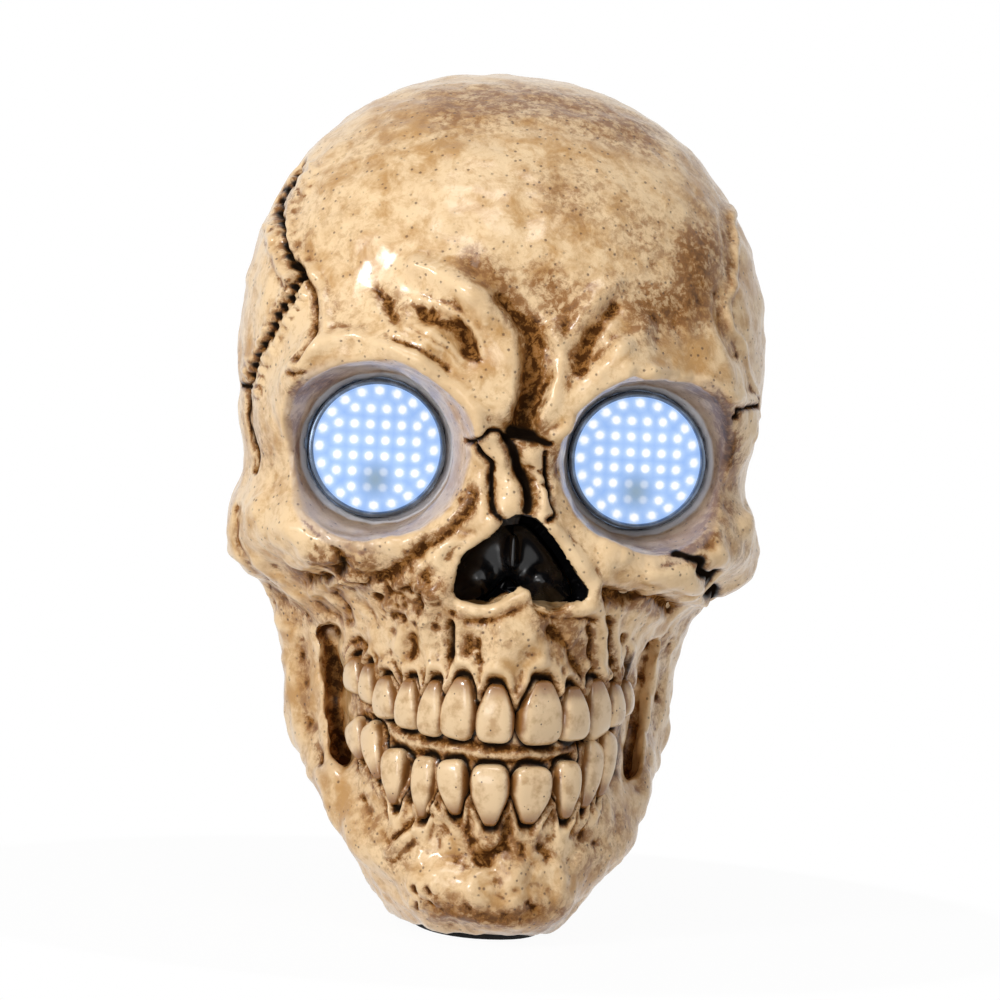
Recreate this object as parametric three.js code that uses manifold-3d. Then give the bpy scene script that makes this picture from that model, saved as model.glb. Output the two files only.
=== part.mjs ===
// A skull decoration with two lit eyes: a hollow plastic shell in two halves that stands on its jaw.
// Millimetres, +Z up. The face looks along -Y, and the origin lies on the floor under the skull.
import * as THREE from 'three';
import { mergeVertices } from 'three/addons/utils/BufferGeometryUtils.js';
import Module from 'manifold-3d';

// Skull form: each profile is a list of [height, value] stations from the jaw to the brow.
const CROWN_HEIGHT = 205;
const BROW_HEIGHT = 138;
const CROWN_Y = 5;
const DOME_POWER = 2.15;
const BACK_POWER = 2;
const HALF_WIDTH = [
  [1.5, 20.5], [5, 23], [10, 26.5], [20, 32.5], [30, 38.5], [40, 42.5], [50, 44.5], [62, 46],
  [74, 49], [84, 55], [95, 61], [106, 60.3], [120, 62.5], [138, 63.7],
];
const FRONT_Y = [
  [1.5, -60], [6, -67], [12, -69], [22, -66.5], [42, -69], [60, -71], [76, -71], [90, -69.5],
  [104, -67], [114, -66.5], [124, -70], [138, -70],
];
const BACK_Y = [
  [1.5, 44], [30, 44], [50, 46], [65, 50], [80, 60], [95, 70], [110, 75], [124, 76], [138, 75.5],
];
const WIDEST_Y = [
  [1.5, -25], [10, -30], [20, -38], [30, -28], [40, -14], [50, -7], [74, -8], [95, -24], [110, -20],
  [138, -19],
];
const FRONT_POWER = [
  [1.5, 2.2], [15, 2], [30, 1.65], [45, 1.5], [62, 1.45], [78, 1.6], [95, 1.8], [115, 2], [138, 2.1],
];

// Shell construction.
const SHELL_WALL = 3;
const PARTING_Y = 8;
const SEAM_GAP = 0.3;
const CLEARANCE = 0.3;
const FUSE_DEPTH = 2;
const PAD_THICKNESS = 1.5;
const PAD_INSET = 2;
const BASE_PLATE_THICKNESS = 4;

// Screws: one pan-headed kind, in lengths to suit.
const SCREW_RADIUS = 1.3;
const SCREW_HEAD_RADIUS = 2.8;
const SCREW_HEAD_HEIGHT = 2;
const SCREW_SIDES = 8;
const POCKET_SIDES = 12;
const BOSS_RADIUS = 4;
const BOSS_TIP = 1;

// Eyes.
const EYE_OFFSET = 31.3;
const EYE_HEIGHT = 114.5;
const EYE_SEAT_Y = -40;
const SOCKET_HALF_WIDTH = 22.6;
const SOCKET_HALF_HEIGHT = 21;
const SOCKET_DEPTH = 22;
const SOCKET_WALL = 2.5;
const SEAT_THICKNESS = 2.2;
const SEAT_LEDGE = 1.6;
const LENS_RADIUS = 15.3;
const LENS_THICKNESS = 2;
const LENS_BULGE = 1.4;
const LENS_SHOULDER = { radiusShare: 0.7, bulgeShare: 0.6 };
const BEZEL_WALL = 0.8;
const BEZEL_LIP = 0.4;
const BEZEL_LIP_THICKNESS = 1.8;
const BEZEL_NOSE = 2.4;
const BEZEL_FLANGE = 3;
const BEZEL_FLANGE_THICKNESS = 2;
const BEZEL_SKIRT = 2.7;
const LED_BOARD_THICKNESS = 1.6;
const LED_SIZE = 1.6;
const LED_HEIGHT = 1.2;
const LED_PITCH = 3.75;
const LED_ROWS = 6;
const LED_RING_COUNT = 20;
const LED_RING_RADIUS = 13.7;
const CUP_WALL = 1.7;
const CUP_LEDGE = 1.9;
const CUP_DEPTH = 3.4;
const CUP_BACK = 2.2;
const CUP_EAR_THICKNESS = 2;
const EYE_SCREW_LENGTH = 9;

// Nose opening, half of its outline as [x, z] from the top round to the notch.
const NOSE_OUTLINE = [
  [0, 100], [4, 99], [10.5, 92], [15.5, 84.5], [15.8, 81.5], [11, 79.5], [5, 81], [0, 86.5],
];
const NOSE_CENTRE_HEIGHT = 89;
const NOSE_WALL = 2.5;
const NOSE_INSERT_Y = -57;
const NOSE_INSERT_THICKNESS = 5;
const SEPTUM_WIDTH = 2.4;
const SEPTUM_DEPTH = 6;
const TURBINATE_RADIUS = 4.2;
const TURBINATE_OFFSET = 7.5;
const TURBINATE_HEIGHT = 86;

// The slot on each side between the tooth rows and the jaw branch.
const SLOT_TOP = [38.6, 69];
const SLOT_BOTTOM = [34.6, 39];
const SLOT_RADIUS = 2.5;
const SLOT_FLOOR_Y = -21;
const SLOT_WALL = 2;

// Teeth as [offset from the middle, width]. The rows rise towards their ends.
const UPPER_TEETH = [[4.9, 9.2], [13.4, 7.4], [19.6, 6], [24.6, 5.4], [29, 5]];
const LOWER_TEETH = [[4.9, 8.8], [13.2, 7.4], [19.6, 6.2], [25.2, 6]];
const UPPER_TOOTH = {
  bottom: 46, top: 60, endRise: 7, endTopRise: 2, halfSpan: 33, topShare: 0.85, bottomShare: 1,
};
const LOWER_TOOTH = {
  bottom: 28, top: 41, endRise: 10, endTopRise: 6, halfSpan: 31, topShare: 1, bottomShare: 0.75,
};
const TOOTH_DEPTH = 3.4;

// Batteries, their box and its door.
const CELL_RADIUS = 7.25;
const CELL_LENGTH = 50.5;
const CELL_NUB_RADIUS = 2.7;
const CELL_NUB_HEIGHT = 1.2;
const CELL_GAP = 0.8;
const CELL_COUNT = 3;
const SPRING_ROOM = 7.5;
const SPRING_WIRE_RADIUS = 0.45;
const SPRING_TURNS = 3;
const SPRING_WIDE_RADIUS = 4.2;
const SPRING_NARROW_RADIUS = 2.6;
const SPRING_WIRE_SIDES = 5;
const SPRING_TURN_STEPS = 8;
const CONTACT_THICKNESS = 0.5;
const CONTACT_SIZE = 12;
const BOX_CENTRE_HEIGHT = 124;
const DOOR_ROOM = 2;
const BOX_WALL = 2;
const BOX_SCREW_SPREAD = 20;
const BOX_SCREW_LENGTH = 8;
const BOX_LUG_HALF_HEIGHT = 4;
const DOOR_MARGIN = 1.5;
const DOOR_SCREW_MARGIN = 6;
const DOOR_LEDGE = 2.5;
const DOOR_EDGE_GAP = 0.5;
const DOOR_CORNER = 6;
const DOOR_BOSS_DEPTH = 6;
const DOOR_SEAT_DEPTH = 3;
const DOOR_SCREW_LENGTH = 9;

// Controller board, carried in front of the battery box.
const BOARD_WIDTH = 44;
const BOARD_HEIGHT = 30;
const BOARD_THICKNESS = 1.6;
const BOARD_STANDOFF = 4;
const BOARD_SCREW_SPREAD = 18;
const BOARD_SCREW_LENGTH = 5;
const CHIP_SIZE = 8;
const CHIP_HEIGHT = 2;
const CHIP_PLACES = [[-6, 6], [6, 6], [0, -7]];

// Slide switch, low on the back.
const SWITCH_HEIGHT = 40;
const SWITCH_RECESS_DEPTH = 5;
const SWITCH_RECESS_HALF_WIDTH = 8;
const SWITCH_RECESS_HALF_HEIGHT = 4.5;
const SWITCH_PAD_THICKNESS = 3;
const SWITCH_PAD_HALF_WIDTH = 16;
const SWITCH_PAD_HALF_HEIGHT = 9;
const SWITCH_TRAVEL = 4;
const SLIDER_HALF_WIDTH = 2;
const SLIDER_HALF_HEIGHT = 1.5;
const SLIDER_SHOULDER = 1;
const SLIDER_BASE_THICKNESS = 2.8;
const SLIDER_PROUD = 2.2;
const SWITCH_BODY_WALL = 1.8;
const SWITCH_BODY_DEPTH = 6.2;
const SWITCH_EAR_THICKNESS = 2;
const SWITCH_SCREW_SPREAD = 10;
const SWITCH_SCREW_LENGTH = 5.2;

// Screws that close the shell, and those of the base plate.
const SHELL_SCREW_HEIGHTS = { upper: 160, lower: 70 };
const SHELL_SCREW_SEAT = 6;
const SHELL_SCREW_LENGTH = 18;
const BASE_SCREW_SPREAD = 7;
const BASE_SCREW_LENGTH = 11;
const BASE_BOSS_LENGTH = 12;
const BASE_RIB_HEIGHT = 8;

// Wires inside the shell.
const LEAD_RADIUS = 1.2;
const LEAD_STRAIGHT = 12;
const LEAD_TURN = 4;
const LEAD_SAG = 3;
const LEAD_DROP = 14;
const EYE_LEAD_SPREAD = 14;
const BATTERY_LEAD_OFFSET = 12;
const BOARD_LEAD_SPREAD = 8;
const LEAD_STEPS = 12;
const LEAD_SIDES = 8;

const wasm = await Module();
wasm.setup();

// Closed geometry becomes a solid that can be joined and cut, with its faces pointing out.
function solid(geometry) {
  const bare = geometry.clone();
  bare.deleteAttribute('normal');
  bare.deleteAttribute('uv');
  const welded = mergeVertices(bare, 1e-4);
  const corners = [];
  for (let i = 0; i < welded.index.count; i += 3) {
    const [a, b, c] = [0, 1, 2].map((k) => welded.index.getX(i + k));
    if (a !== b && b !== c && c !== a) corners.push(a, b, c);
  }
  const vertProperties = new Float32Array(welded.attributes.position.array);
  const body = (order) => new wasm.Manifold(
    new wasm.Mesh({ numProp: 3, vertProperties, triVerts: new Uint32Array(order) }),
  );
  const made = body(corners);
  return made.volume() > 0 ? made : body(corners.reverse());
}

function join(...bodies) {
  return bodies.reduce((whole, next) => whole.add(next));
}

function cut(whole, ...tools) {
  return tools.reduce((left, tool) => left.subtract(tool), whole);
}

const skull = new THREE.Group();

function place(name, look, body) {
  const { vertProperties, triVerts } = body.getMesh();
  const geometry = new THREE.BufferGeometry();
  geometry.setAttribute('position', new THREE.BufferAttribute(vertProperties, 3));
  geometry.setIndex(new THREE.BufferAttribute(triVerts, 1));
  geometry.computeVertexNormals();
  const piece = new THREE.Mesh(geometry, look);
  piece.name = name;
  skull.add(piece);
  return piece;
}

const finish = (color, roughness, metalness = 0) =>
  new THREE.MeshStandardMaterial({ color, roughness, metalness });
const BONE = finish('#d8bd8f', 0.3);
const NOSE_BLACK = finish('#0b0b0d', 0.15);
const BEZEL_GLOSS = finish('#10151f', 0.12);
const LENS_BLUE = finish('#9fc0ee', 0.2);
const BOARD_GREEN = finish('#1f5a38', 0.5);
const DARK_PLASTIC = finish('#25262a', 0.55);
const RUBBER_PAD = finish('#1b1b1c', 0.9);
const STEEL = finish('#b9bcc0', 0.3, 1);
const CELL_SLEEVE = finish('#3a3d42', 0.35);
const LEAD_SLEEVE = finish('#7a1f1c', 0.5);

// Simple solids. Rods run along Y and posts along Z.
const block = (x0, x1, y0, y1, z0, z1) => solid(
  new THREE.BoxGeometry(x1 - x0, y1 - y0, z1 - z0)
    .translate((x0 + x1) / 2, (y0 + y1) / 2, (z0 + z1) / 2),
);
const rod = (radius, x, z, y0, y1, sides = SCREW_SIDES) => solid(
  new THREE.CylinderGeometry(radius, radius, y1 - y0, sides).translate(x, (y0 + y1) / 2, z),
);
const post = (radius, x, y, z0, z1) => solid(
  new THREE.CylinderGeometry(radius, radius, z1 - z0, SCREW_SIDES).rotateX(Math.PI / 2)
    .translate(x, y, (z0 + z1) / 2),
);
const panel = (shape, y0, y1) => solid(
  new THREE.ExtrudeGeometry(shape, { depth: y1 - y0, bevelEnabled: false, curveSegments: 2 })
    .rotateX(Math.PI / 2).translate(0, y1, 0),
);

// A turned piece about the eye's Y axis, from [radius, y] corners that close on themselves.
function turned(corners, sides) {
  const profile = corners.map(([radius, y]) => new THREE.Vector2(radius, y));
  if (corners[0][0] > 0) profile.push(profile[0].clone());
  return new THREE.LatheGeometry(profile, sides);
}

function roundedPanel(halfWidth, z0, z1, corner) {
  const shape = new THREE.Shape();
  shape.moveTo(-halfWidth + corner, z0);
  shape.lineTo(halfWidth - corner, z0);
  shape.absarc(halfWidth - corner, z0 + corner, corner, -Math.PI / 2, 0);
  shape.lineTo(halfWidth, z1 - corner);
  shape.absarc(halfWidth - corner, z1 - corner, corner, 0, Math.PI / 2);
  shape.lineTo(-halfWidth + corner, z1);
  shape.absarc(-halfWidth + corner, z1 - corner, corner, Math.PI / 2, Math.PI);
  shape.lineTo(-halfWidth, z0 + corner);
  shape.absarc(-halfWidth + corner, z0 + corner, corner, Math.PI, 1.5 * Math.PI);
  return shape;
}

function roundSection(radius, sides) {
  const corners = [];
  for (let i = 0; i < sides; i += 1) {
    const angle = (2 * Math.PI * i) / sides;
    corners.push(new THREE.Vector2(radius * Math.cos(angle), radius * Math.sin(angle)));
  }
  return new THREE.Shape(corners);
}

// A surface through rings of points. A ring of one point closes the end.
function loft(rings) {
  const index = [];
  let start = 0;
  for (let ring = 0; ring + 1 < rings.length; ring += 1) {
    const near = rings[ring].length;
    const far = rings[ring + 1].length;
    for (let k = 0; k < Math.max(near, far); k += 1) {
      const [a, b] = [k % near, (k + 1) % near].map((i) => start + i);
      const [c, d] = [(k + 1) % far, k % far].map((i) => start + near + i);
      if (near > 1) index.push(a, b, c);
      if (far > 1) index.push(a, c, d);
    }
    start += near;
  }
  const geometry = new THREE.BufferGeometry().setFromPoints(rings.flat());
  geometry.setIndex(index);
  return geometry;
}

// The skull's skin: level outlines that are egg-shaped, with a dome above the brow.
function through(stations) {
  const heights = stations.map(([height]) => height);
  const curve = new THREE.CubicInterpolant(heights, stations.map(([, value]) => value), 1);
  return (height) => curve.evaluate(height)[0];
}
const halfWidthAt = through(HALF_WIDTH);
const frontAt = through(FRONT_Y);
const backAt = through(BACK_Y);
const widestAt = through(WIDEST_Y);
const frontPowerAt = through(FRONT_POWER);

function outlineAt(z, inset) {
  const level = Math.min(z, BROW_HEIGHT);
  const rise = Math.max(0, z - BROW_HEIGHT) / (CROWN_HEIGHT - inset - BROW_HEIGHT);
  const shrink = (1 - Math.min(rise, 1) ** DOME_POWER) ** (1 / DOME_POWER);
  const towardsCrown = (y) => CROWN_Y + (y - CROWN_Y) * shrink;
  return {
    half: (halfWidthAt(level) - inset) * shrink,
    front: towardsCrown(frontAt(level) + inset),
    back: towardsCrown(backAt(level) - inset),
    widest: towardsCrown(widestAt(level)),
    power: frontPowerAt(level),
  };
}

// The turn runs from the +X side over the face to the -X side and back behind the head.
function skinPoint(turn, z, inset = 0) {
  const { half, front, back, widest, power } = outlineAt(z, inset);
  const ahead = Math.sin(turn) >= 0;
  const bend = 2 / (ahead ? power : BACK_POWER);
  const reach = (ahead ? front : back) - widest;
  const x = half * Math.sign(Math.cos(turn)) * Math.abs(Math.cos(turn)) ** bend;
  return new THREE.Vector3(x, widest + reach * Math.abs(Math.sin(turn)) ** bend, z);
}

function skinNormal(turn, z) {
  const nudge = 0.03;
  const around = skinPoint(turn + nudge, z).sub(skinPoint(turn - nudge, z));
  const upward = skinPoint(turn, z + nudge).sub(skinPoint(turn, z - nudge));
  return upward.cross(around).normalize();
}

function faceTurn(x, z) {
  const { half, power } = outlineAt(z, 0);
  return Math.acos(Math.sign(x) * Math.abs(x / half) ** (power / 2));
}

const onFace = (x, z) => skinPoint(faceTurn(x, z), z);

// The skin's depth at a place seen from the front or from behind.
function wallY(x, z, inset, ahead) {
  const { half, front, back, widest, power } = outlineAt(z, inset);
  const bend = ahead ? power : BACK_POWER;
  return widest + ((ahead ? front : back) - widest) * (1 - (Math.abs(x) / half) ** bend) ** (1 / bend);
}

const backY = (x, z) => wallY(x, z, 0, false);

function sideX(y, z) {
  const { half, back, widest } = outlineAt(z, 0);
  return half * (1 - ((y - widest) / (back - widest)) ** BACK_POWER) ** (1 / BACK_POWER);
}

// Raised bone, the same on both sides: a soft ridge along a line, so high and so wide.
const ridge = (from, to, width, height) => ({ line: new THREE.Line3(from, to), width, height });
const RIDGES = [
  ridge(onFace(7, 125), onFace(22, 137), 8, 4.5),
  ridge(onFace(22, 137), onFace(45, 135), 8, 3.5),
  ridge(onFace(45, 135), onFace(56, 120), 7, 2.5),
  ridge(onFace(0, 116), onFace(0, 101), 7, 5),
  ridge(onFace(4, 102), onFace(18, 84), 4.5, 3),
  ridge(onFace(17, 80), onFace(0, 77), 4.5, 2.5),
  ridge(onFace(36, 90), onFace(56, 96), 9, 4),
  ridge(new THREE.Vector3(61, -22, 94), new THREE.Vector3(60, 2, 95), 8, 4),
  ridge(new THREE.Vector3(57, -28, 86), new THREE.Vector3(57, -10, 88), 6, 5),
  ridge(onFace(18, 95), onFace(44, 92), 6, 2.5),
  ridge(onFace(0, 66), onFace(22, 66), 7, 2),
  ridge(onFace(0, 27), onFace(20, 31), 7, 2),
  ridge(onFace(0, 11), onFace(13, 12), 9, 2.5),
  ridge(onFace(31, 22), onFace(40, 38), 8, 2),
  ridge(new THREE.Vector3(44, -10, 42), new THREE.Vector3(48, -8, 76), 9, 3),
  ridge(onFace(0, 45.5), onFace(20, 49.5), 4, 1.5),
];
// The knitted brow and the worn cheek, which differ from side to side: folds stand up, creases are pressed in.
const FOLDS = [
  ridge(onFace(-26, 158), onFace(-12, 151), 5, 2.4),
  ridge(onFace(-12, 151), onFace(-4, 141), 5, 3.2),
  ridge(onFace(-4, 141), onFace(-6, 127), 5, 2.4),
  ridge(onFace(1, 147), onFace(1, 124), 4, -2.2),
  ridge(onFace(-23, 147), onFace(-14, 140), 4.5, -2),
  ridge(onFace(9, 142), onFace(20, 157), 5, 2.4),
  ridge(onFace(17, 138), onFace(28, 148), 5, 1.8),
  ridge(onFace(13, 139), onFace(20, 150), 4, -2),
  ridge(onFace(-30, 86), onFace(-16, 98), 4.5, -2),
  ridge(onFace(-41, 93), onFace(-41, 85), 4.5, -2.5),
];
const RIDGE_FADE_HEIGHT = 8;

function heightOf(bones, place) {
  const nearest = new THREE.Vector3();
  let height = 0;
  for (const bone of bones) {
    bone.line.closestPointToPoint(place, true, nearest);
    height += bone.height * Math.exp(-nearest.distanceToSquared(place) / bone.width ** 2);
  }
  return height;
}

function bonePoint(turn, z) {
  const point = skinPoint(turn, z);
  const onLeft = new THREE.Vector3(Math.abs(point.x), point.y, z);
  const height = heightOf(RIDGES, onLeft) + heightOf(FOLDS, point);
  const fade = THREE.MathUtils.smoothstep(z, PAD_THICKNESS, RIDGE_FADE_HEIGHT);
  return point.addScaledVector(skinNormal(turn, z), height * fade);
}

const FINE = { front: 32, back: 12, levels: 28, dome: 8 };
const CELL_SIDES = 16;
const FOOT_POINTS = 36;
const COARSE = { front: 14, back: 12, levels: 13, dome: 6 };

function skin(inset, floor, steps, pointAt = skinPoint) {
  const turns = [];
  for (let i = 0; i < steps.front; i += 1) turns.push((Math.PI * i) / steps.front);
  for (let i = 0; i < steps.back; i += 1) turns.push(Math.PI * (1 + i / steps.back));
  const heights = floor < PAD_THICKNESS ? [floor] : [];
  for (let i = 0; i < steps.levels; i += 1) {
    heights.push(PAD_THICKNESS + ((BROW_HEIGHT - PAD_THICKNESS) * i) / steps.levels);
  }
  const dome = CROWN_HEIGHT - inset - BROW_HEIGHT;
  for (let i = 0; i < steps.dome; i += 1) {
    heights.push(BROW_HEIGHT + dome * Math.sin((Math.PI / 2) * (i / steps.dome)) ** (2 / DOME_POWER));
  }
  const rings = heights.map((z) => turns.map((turn) => pointAt(turn, z, inset)));
  const foot = new THREE.Vector3(0, widestAt(floor), floor);
  const crown = new THREE.Vector3(0, CROWN_Y, CROWN_HEIGHT - inset);
  return solid(loft([[foot], ...rings, [crown]]));
}

// Below the open floor, so that the hollow runs right out of the shell.
const UNDERCUT = PAD_THICKNESS - 6;
const outer = skin(0, PAD_THICKNESS, FINE, bonePoint);
const hollow = skin(SHELL_WALL, UNDERCUT, COARSE);
const core = skin(SHELL_WALL / 2, UNDERCUT, COARSE);
const inside = skin(SHELL_WALL + CLEARANCE, UNDERCUT, COARSE);

// One tooth is a six-sided peg that narrows towards its gum, turned to face out of the jaw.
function tooth(offset, width, row) {
  const out = (offset / row.halfSpan) ** 2;
  const bottom = row.bottom + row.endRise * out;
  const top = row.top + row.endTopRise * out;
  const z = (bottom + top) / 2;
  const turn = faceTurn(offset, z);
  const normal = skinNormal(turn, z);
  const peg = new THREE.CylinderGeometry(row.topShare, row.bottomShare, 1, 6, 1, false, Math.PI / 6);
  peg.rotateX(Math.PI / 2).scale(width / 2, TOOTH_DEPTH, top - bottom);
  peg.rotateZ(Math.atan2(normal.x, -normal.y));
  const root = bonePoint(turn, z);
  return solid(peg.translate(root.x, root.y, root.z));
}

const SIDES = { left: 1, right: -1 };
const teeth = [];
for (const side of Object.values(SIDES)) {
  for (const [offset, width] of UPPER_TEETH) teeth.push(tooth(side * offset, width, UPPER_TOOTH));
  for (const [offset, width] of LOWER_TEETH) teeth.push(tooth(side * offset, width, LOWER_TOOTH));
}

// Eye sizes that follow from the lens. Depths run back from the socket's seat.
const lensPocketRadius = LENS_RADIUS + CLEARANCE;
const bezelNoseRadius = lensPocketRadius + BEZEL_WALL;
const seatHoleRadius = bezelNoseRadius + CLEARANCE;
const seatRadius = seatHoleRadius + SEAT_LEDGE;
const flangeRadius = bezelNoseRadius + BEZEL_FLANGE;
const flangeFront = SEAT_THICKNESS + CLEARANCE;
const flangeBack = flangeFront + BEZEL_FLANGE_THICKNESS;
const skirtBack = flangeBack + BEZEL_SKIRT;
const cupFront = flangeBack + CLEARANCE;
const ledBoardRadius = flangeRadius - CUP_WALL - CLEARANCE;
const ledBoardFront = skirtBack + CLEARANCE;
const ledBoardBack = ledBoardFront + LED_BOARD_THICKNESS;
const cupLedge = ledBoardBack + CLEARANCE;
const cupFloor = cupLedge + CUP_DEPTH;
const cupBack = cupFloor + CUP_BACK;
const eyeScrewOffset = flangeRadius + BOSS_RADIUS + BOSS_TIP;
const earFront = cupLedge - CUP_EAR_THICKNESS / 2;
const earBack = earFront + CUP_EAR_THICKNESS;
const pilotRadius = SCREW_RADIUS + CLEARANCE;
const headRadius = SCREW_HEAD_RADIUS + CLEARANCE;
const EYE_SIDES = 20;
const FAR = 2 * CROWN_HEIGHT;
const FAR_FRONT = -FAR;
const FAR_BACK = FAR;
const THROUGH = 1;

// The socket opens like a funnel from its seat to an oval mouth, and on past the skin.
function socket(side, grow, back) {
  const ring = (depth) => {
    const open = -depth / SOCKET_DEPTH;
    const wide = seatRadius + grow + (SOCKET_HALF_WIDTH - seatRadius) * open;
    const tall = seatRadius + grow + (SOCKET_HALF_HEIGHT - seatRadius) * open;
    const points = [];
    for (let i = 0; i < EYE_SIDES; i += 1) {
      const angle = (2 * Math.PI * i) / EYE_SIDES;
      points.push(new THREE.Vector3(
        side * EYE_OFFSET + wide * Math.cos(angle),
        EYE_SEAT_Y + depth,
        EYE_HEIGHT + tall * Math.sin(angle),
      ));
    }
    return points;
  };
  const centre = (depth) => [new THREE.Vector3(side * EYE_OFFSET, EYE_SEAT_Y + depth, EYE_HEIGHT)];
  const mouth = FAR_FRONT - EYE_SEAT_Y;
  return solid(loft([centre(back), ring(back), ring(mouth), centre(mouth)]));
}

function noseShape(grow) {
  const right = NOSE_OUTLINE.map(([x, z]) => {
    const away = new THREE.Vector2(x, z - NOSE_CENTRE_HEIGHT);
    return away.setLength(away.length() + grow).add(new THREE.Vector2(0, NOSE_CENTRE_HEIGHT));
  });
  const left = right.slice(1, -1).reverse().map(({ x, y }) => new THREE.Vector2(-x, y));
  return new THREE.Shape([...right, ...left]);
}

function slotShape(side, grow) {
  const [topX, topZ] = SLOT_TOP;
  const [bottomX, bottomZ] = SLOT_BOTTOM;
  const radius = SLOT_RADIUS + grow;
  const lean = Math.atan2(topZ - bottomZ, side * (topX - bottomX));
  const shape = new THREE.Shape();
  shape.absarc(side * topX, topZ, radius, lean - Math.PI / 2, lean + Math.PI / 2);
  shape.absarc(side * bottomX, bottomZ, radius, lean + Math.PI / 2, lean + 1.5 * Math.PI);
  return shape;
}

// Where the shell's screws run: beside the wall, at the parting plane.
const seamFront = PARTING_Y - SEAM_GAP / 2;
const seamBack = PARTING_Y + SEAM_GAP / 2;
const shellSeatY = seamBack + SHELL_SCREW_SEAT;
const shellScrews = [];
for (const [level, z] of Object.entries(SHELL_SCREW_HEIGHTS)) {
  for (const [hand, side] of Object.entries(SIDES)) {
    const x = side * (sideX(PARTING_Y, z) - SHELL_WALL - BOSS_RADIUS + FUSE_DEPTH);
    shellScrews.push({ name: `${level}_${hand}_shell_screw`, x, z });
  }
}

// The base plate's screws, two into each half of the shell.
const plateTop = PAD_THICKNESS + BASE_PLATE_THICKNESS;
const bossStart = plateTop + CLEARANCE;
const plateInset = SHELL_WALL + 2 * CLEARANCE;
const baseScrewInset = plateInset + headRadius + BOSS_TIP;
const baseScrews = [];
for (const [hand, side] of Object.entries(SIDES)) {
  for (const [end, ahead] of Object.entries({ front: true, rear: false })) {
    const x = side * BASE_SCREW_SPREAD;
    const y = wallY(x, PAD_THICKNESS, baseScrewInset, ahead);
    baseScrews.push({ name: `${end}_${hand}_base_screw`, x, y, ahead });
  }
}

const halfSpace = { front: block(-FAR, FAR, FAR_FRONT, seamFront, -FAR, FAR) };
halfSpace.rear = block(-FAR, FAR, seamBack, FAR_BACK, -FAR, FAR);

// Front half: the face with its sockets, nose, slots and teeth.
let face = cut(outer, hollow);
const faceWalls = [];
const faceCuts = [];
for (const side of Object.values(SIDES)) {
  const x = side * EYE_OFFSET;
  faceWalls.push(socket(side, SOCKET_WALL, SEAT_THICKNESS));
  faceCuts.push(socket(side, 0, 0), rod(seatHoleRadius, x, EYE_HEIGHT, EYE_SEAT_Y - THROUGH, 0, EYE_SIDES));
  faceWalls.push(panel(slotShape(side, SLOT_WALL), FAR_FRONT, SLOT_FLOOR_Y + SLOT_WALL));
  faceCuts.push(panel(slotShape(side, 0), FAR_FRONT, SLOT_FLOOR_Y));
}
const noseBack = NOSE_INSERT_Y + NOSE_INSERT_THICKNESS;
faceWalls.push(panel(noseShape(NOSE_WALL), FAR_FRONT, noseBack));
faceCuts.push(panel(noseShape(0), FAR_FRONT, noseBack + THROUGH));
face = join(face, join(...faceWalls).intersect(core), ...teeth).subtract(join(...faceCuts));

const eyeBossEnd = EYE_SEAT_Y + earFront - CLEARANCE;
const faceBosses = [];
const facePilots = [];
for (const side of Object.values(SIDES)) {
  const x = side * EYE_OFFSET;
  for (const z of [EYE_HEIGHT + eyeScrewOffset, EYE_HEIGHT - eyeScrewOffset]) {
    faceBosses.push(rod(BOSS_RADIUS, x, z, FAR_FRONT, eyeBossEnd));
    facePilots.push(rod(pilotRadius, x, z, eyeBossEnd - EYE_SCREW_LENGTH, eyeBossEnd + THROUGH));
  }
}
const shellPilotDepth = SHELL_SCREW_LENGTH - SHELL_SCREW_SEAT + BOSS_TIP;
for (const { x, z } of shellScrews) {
  faceBosses.push(rod(BOSS_RADIUS, x, z, seamFront - shellPilotDepth - BOSS_TIP, seamFront));
  facePilots.push(rod(pilotRadius, x, z, seamFront - shellPilotDepth, seamFront + THROUGH));
}
const baseBosses = [];
const basePilots = [];
for (const { x, y, ahead } of baseScrews) {
  const rib = ahead ? [FAR_FRONT, y] : [y, FAR_BACK];
  baseBosses.push(post(BOSS_RADIUS, x, y, bossStart, bossStart + BASE_BOSS_LENGTH));
  baseBosses.push(block(x - BOSS_TIP, x + BOSS_TIP, ...rib, bossStart, bossStart + BASE_RIB_HEIGHT));
  basePilots.push(post(pilotRadius, x, y, bossStart - THROUGH, bossStart + BASE_BOSS_LENGTH - BOSS_TIP));
}
const baseSupport = cut(join(...baseBosses).intersect(core), ...basePilots);
const sockets = join(...Object.values(SIDES).map((side) => socket(side, 0, 0)));
const faceSupport = cut(join(...faceBosses).intersect(core), sockets, ...facePilots);
face = join(face, faceSupport, baseSupport).intersect(halfSpace.front);
place('face_shell', BONE, cut(face, ...facePilots, ...basePilots));

// Battery box sizes.
const cellPitch = 2 * CELL_RADIUS + CELL_GAP;
const boxHalfWidth = (CELL_COUNT * cellPitch) / 2 + CLEARANCE;
const boxHeight = CELL_LENGTH + SPRING_ROOM;
const boxBottom = BOX_CENTRE_HEIGHT - boxHeight / 2;
const boxTop = BOX_CENTRE_HEIGHT + boxHeight / 2;
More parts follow.
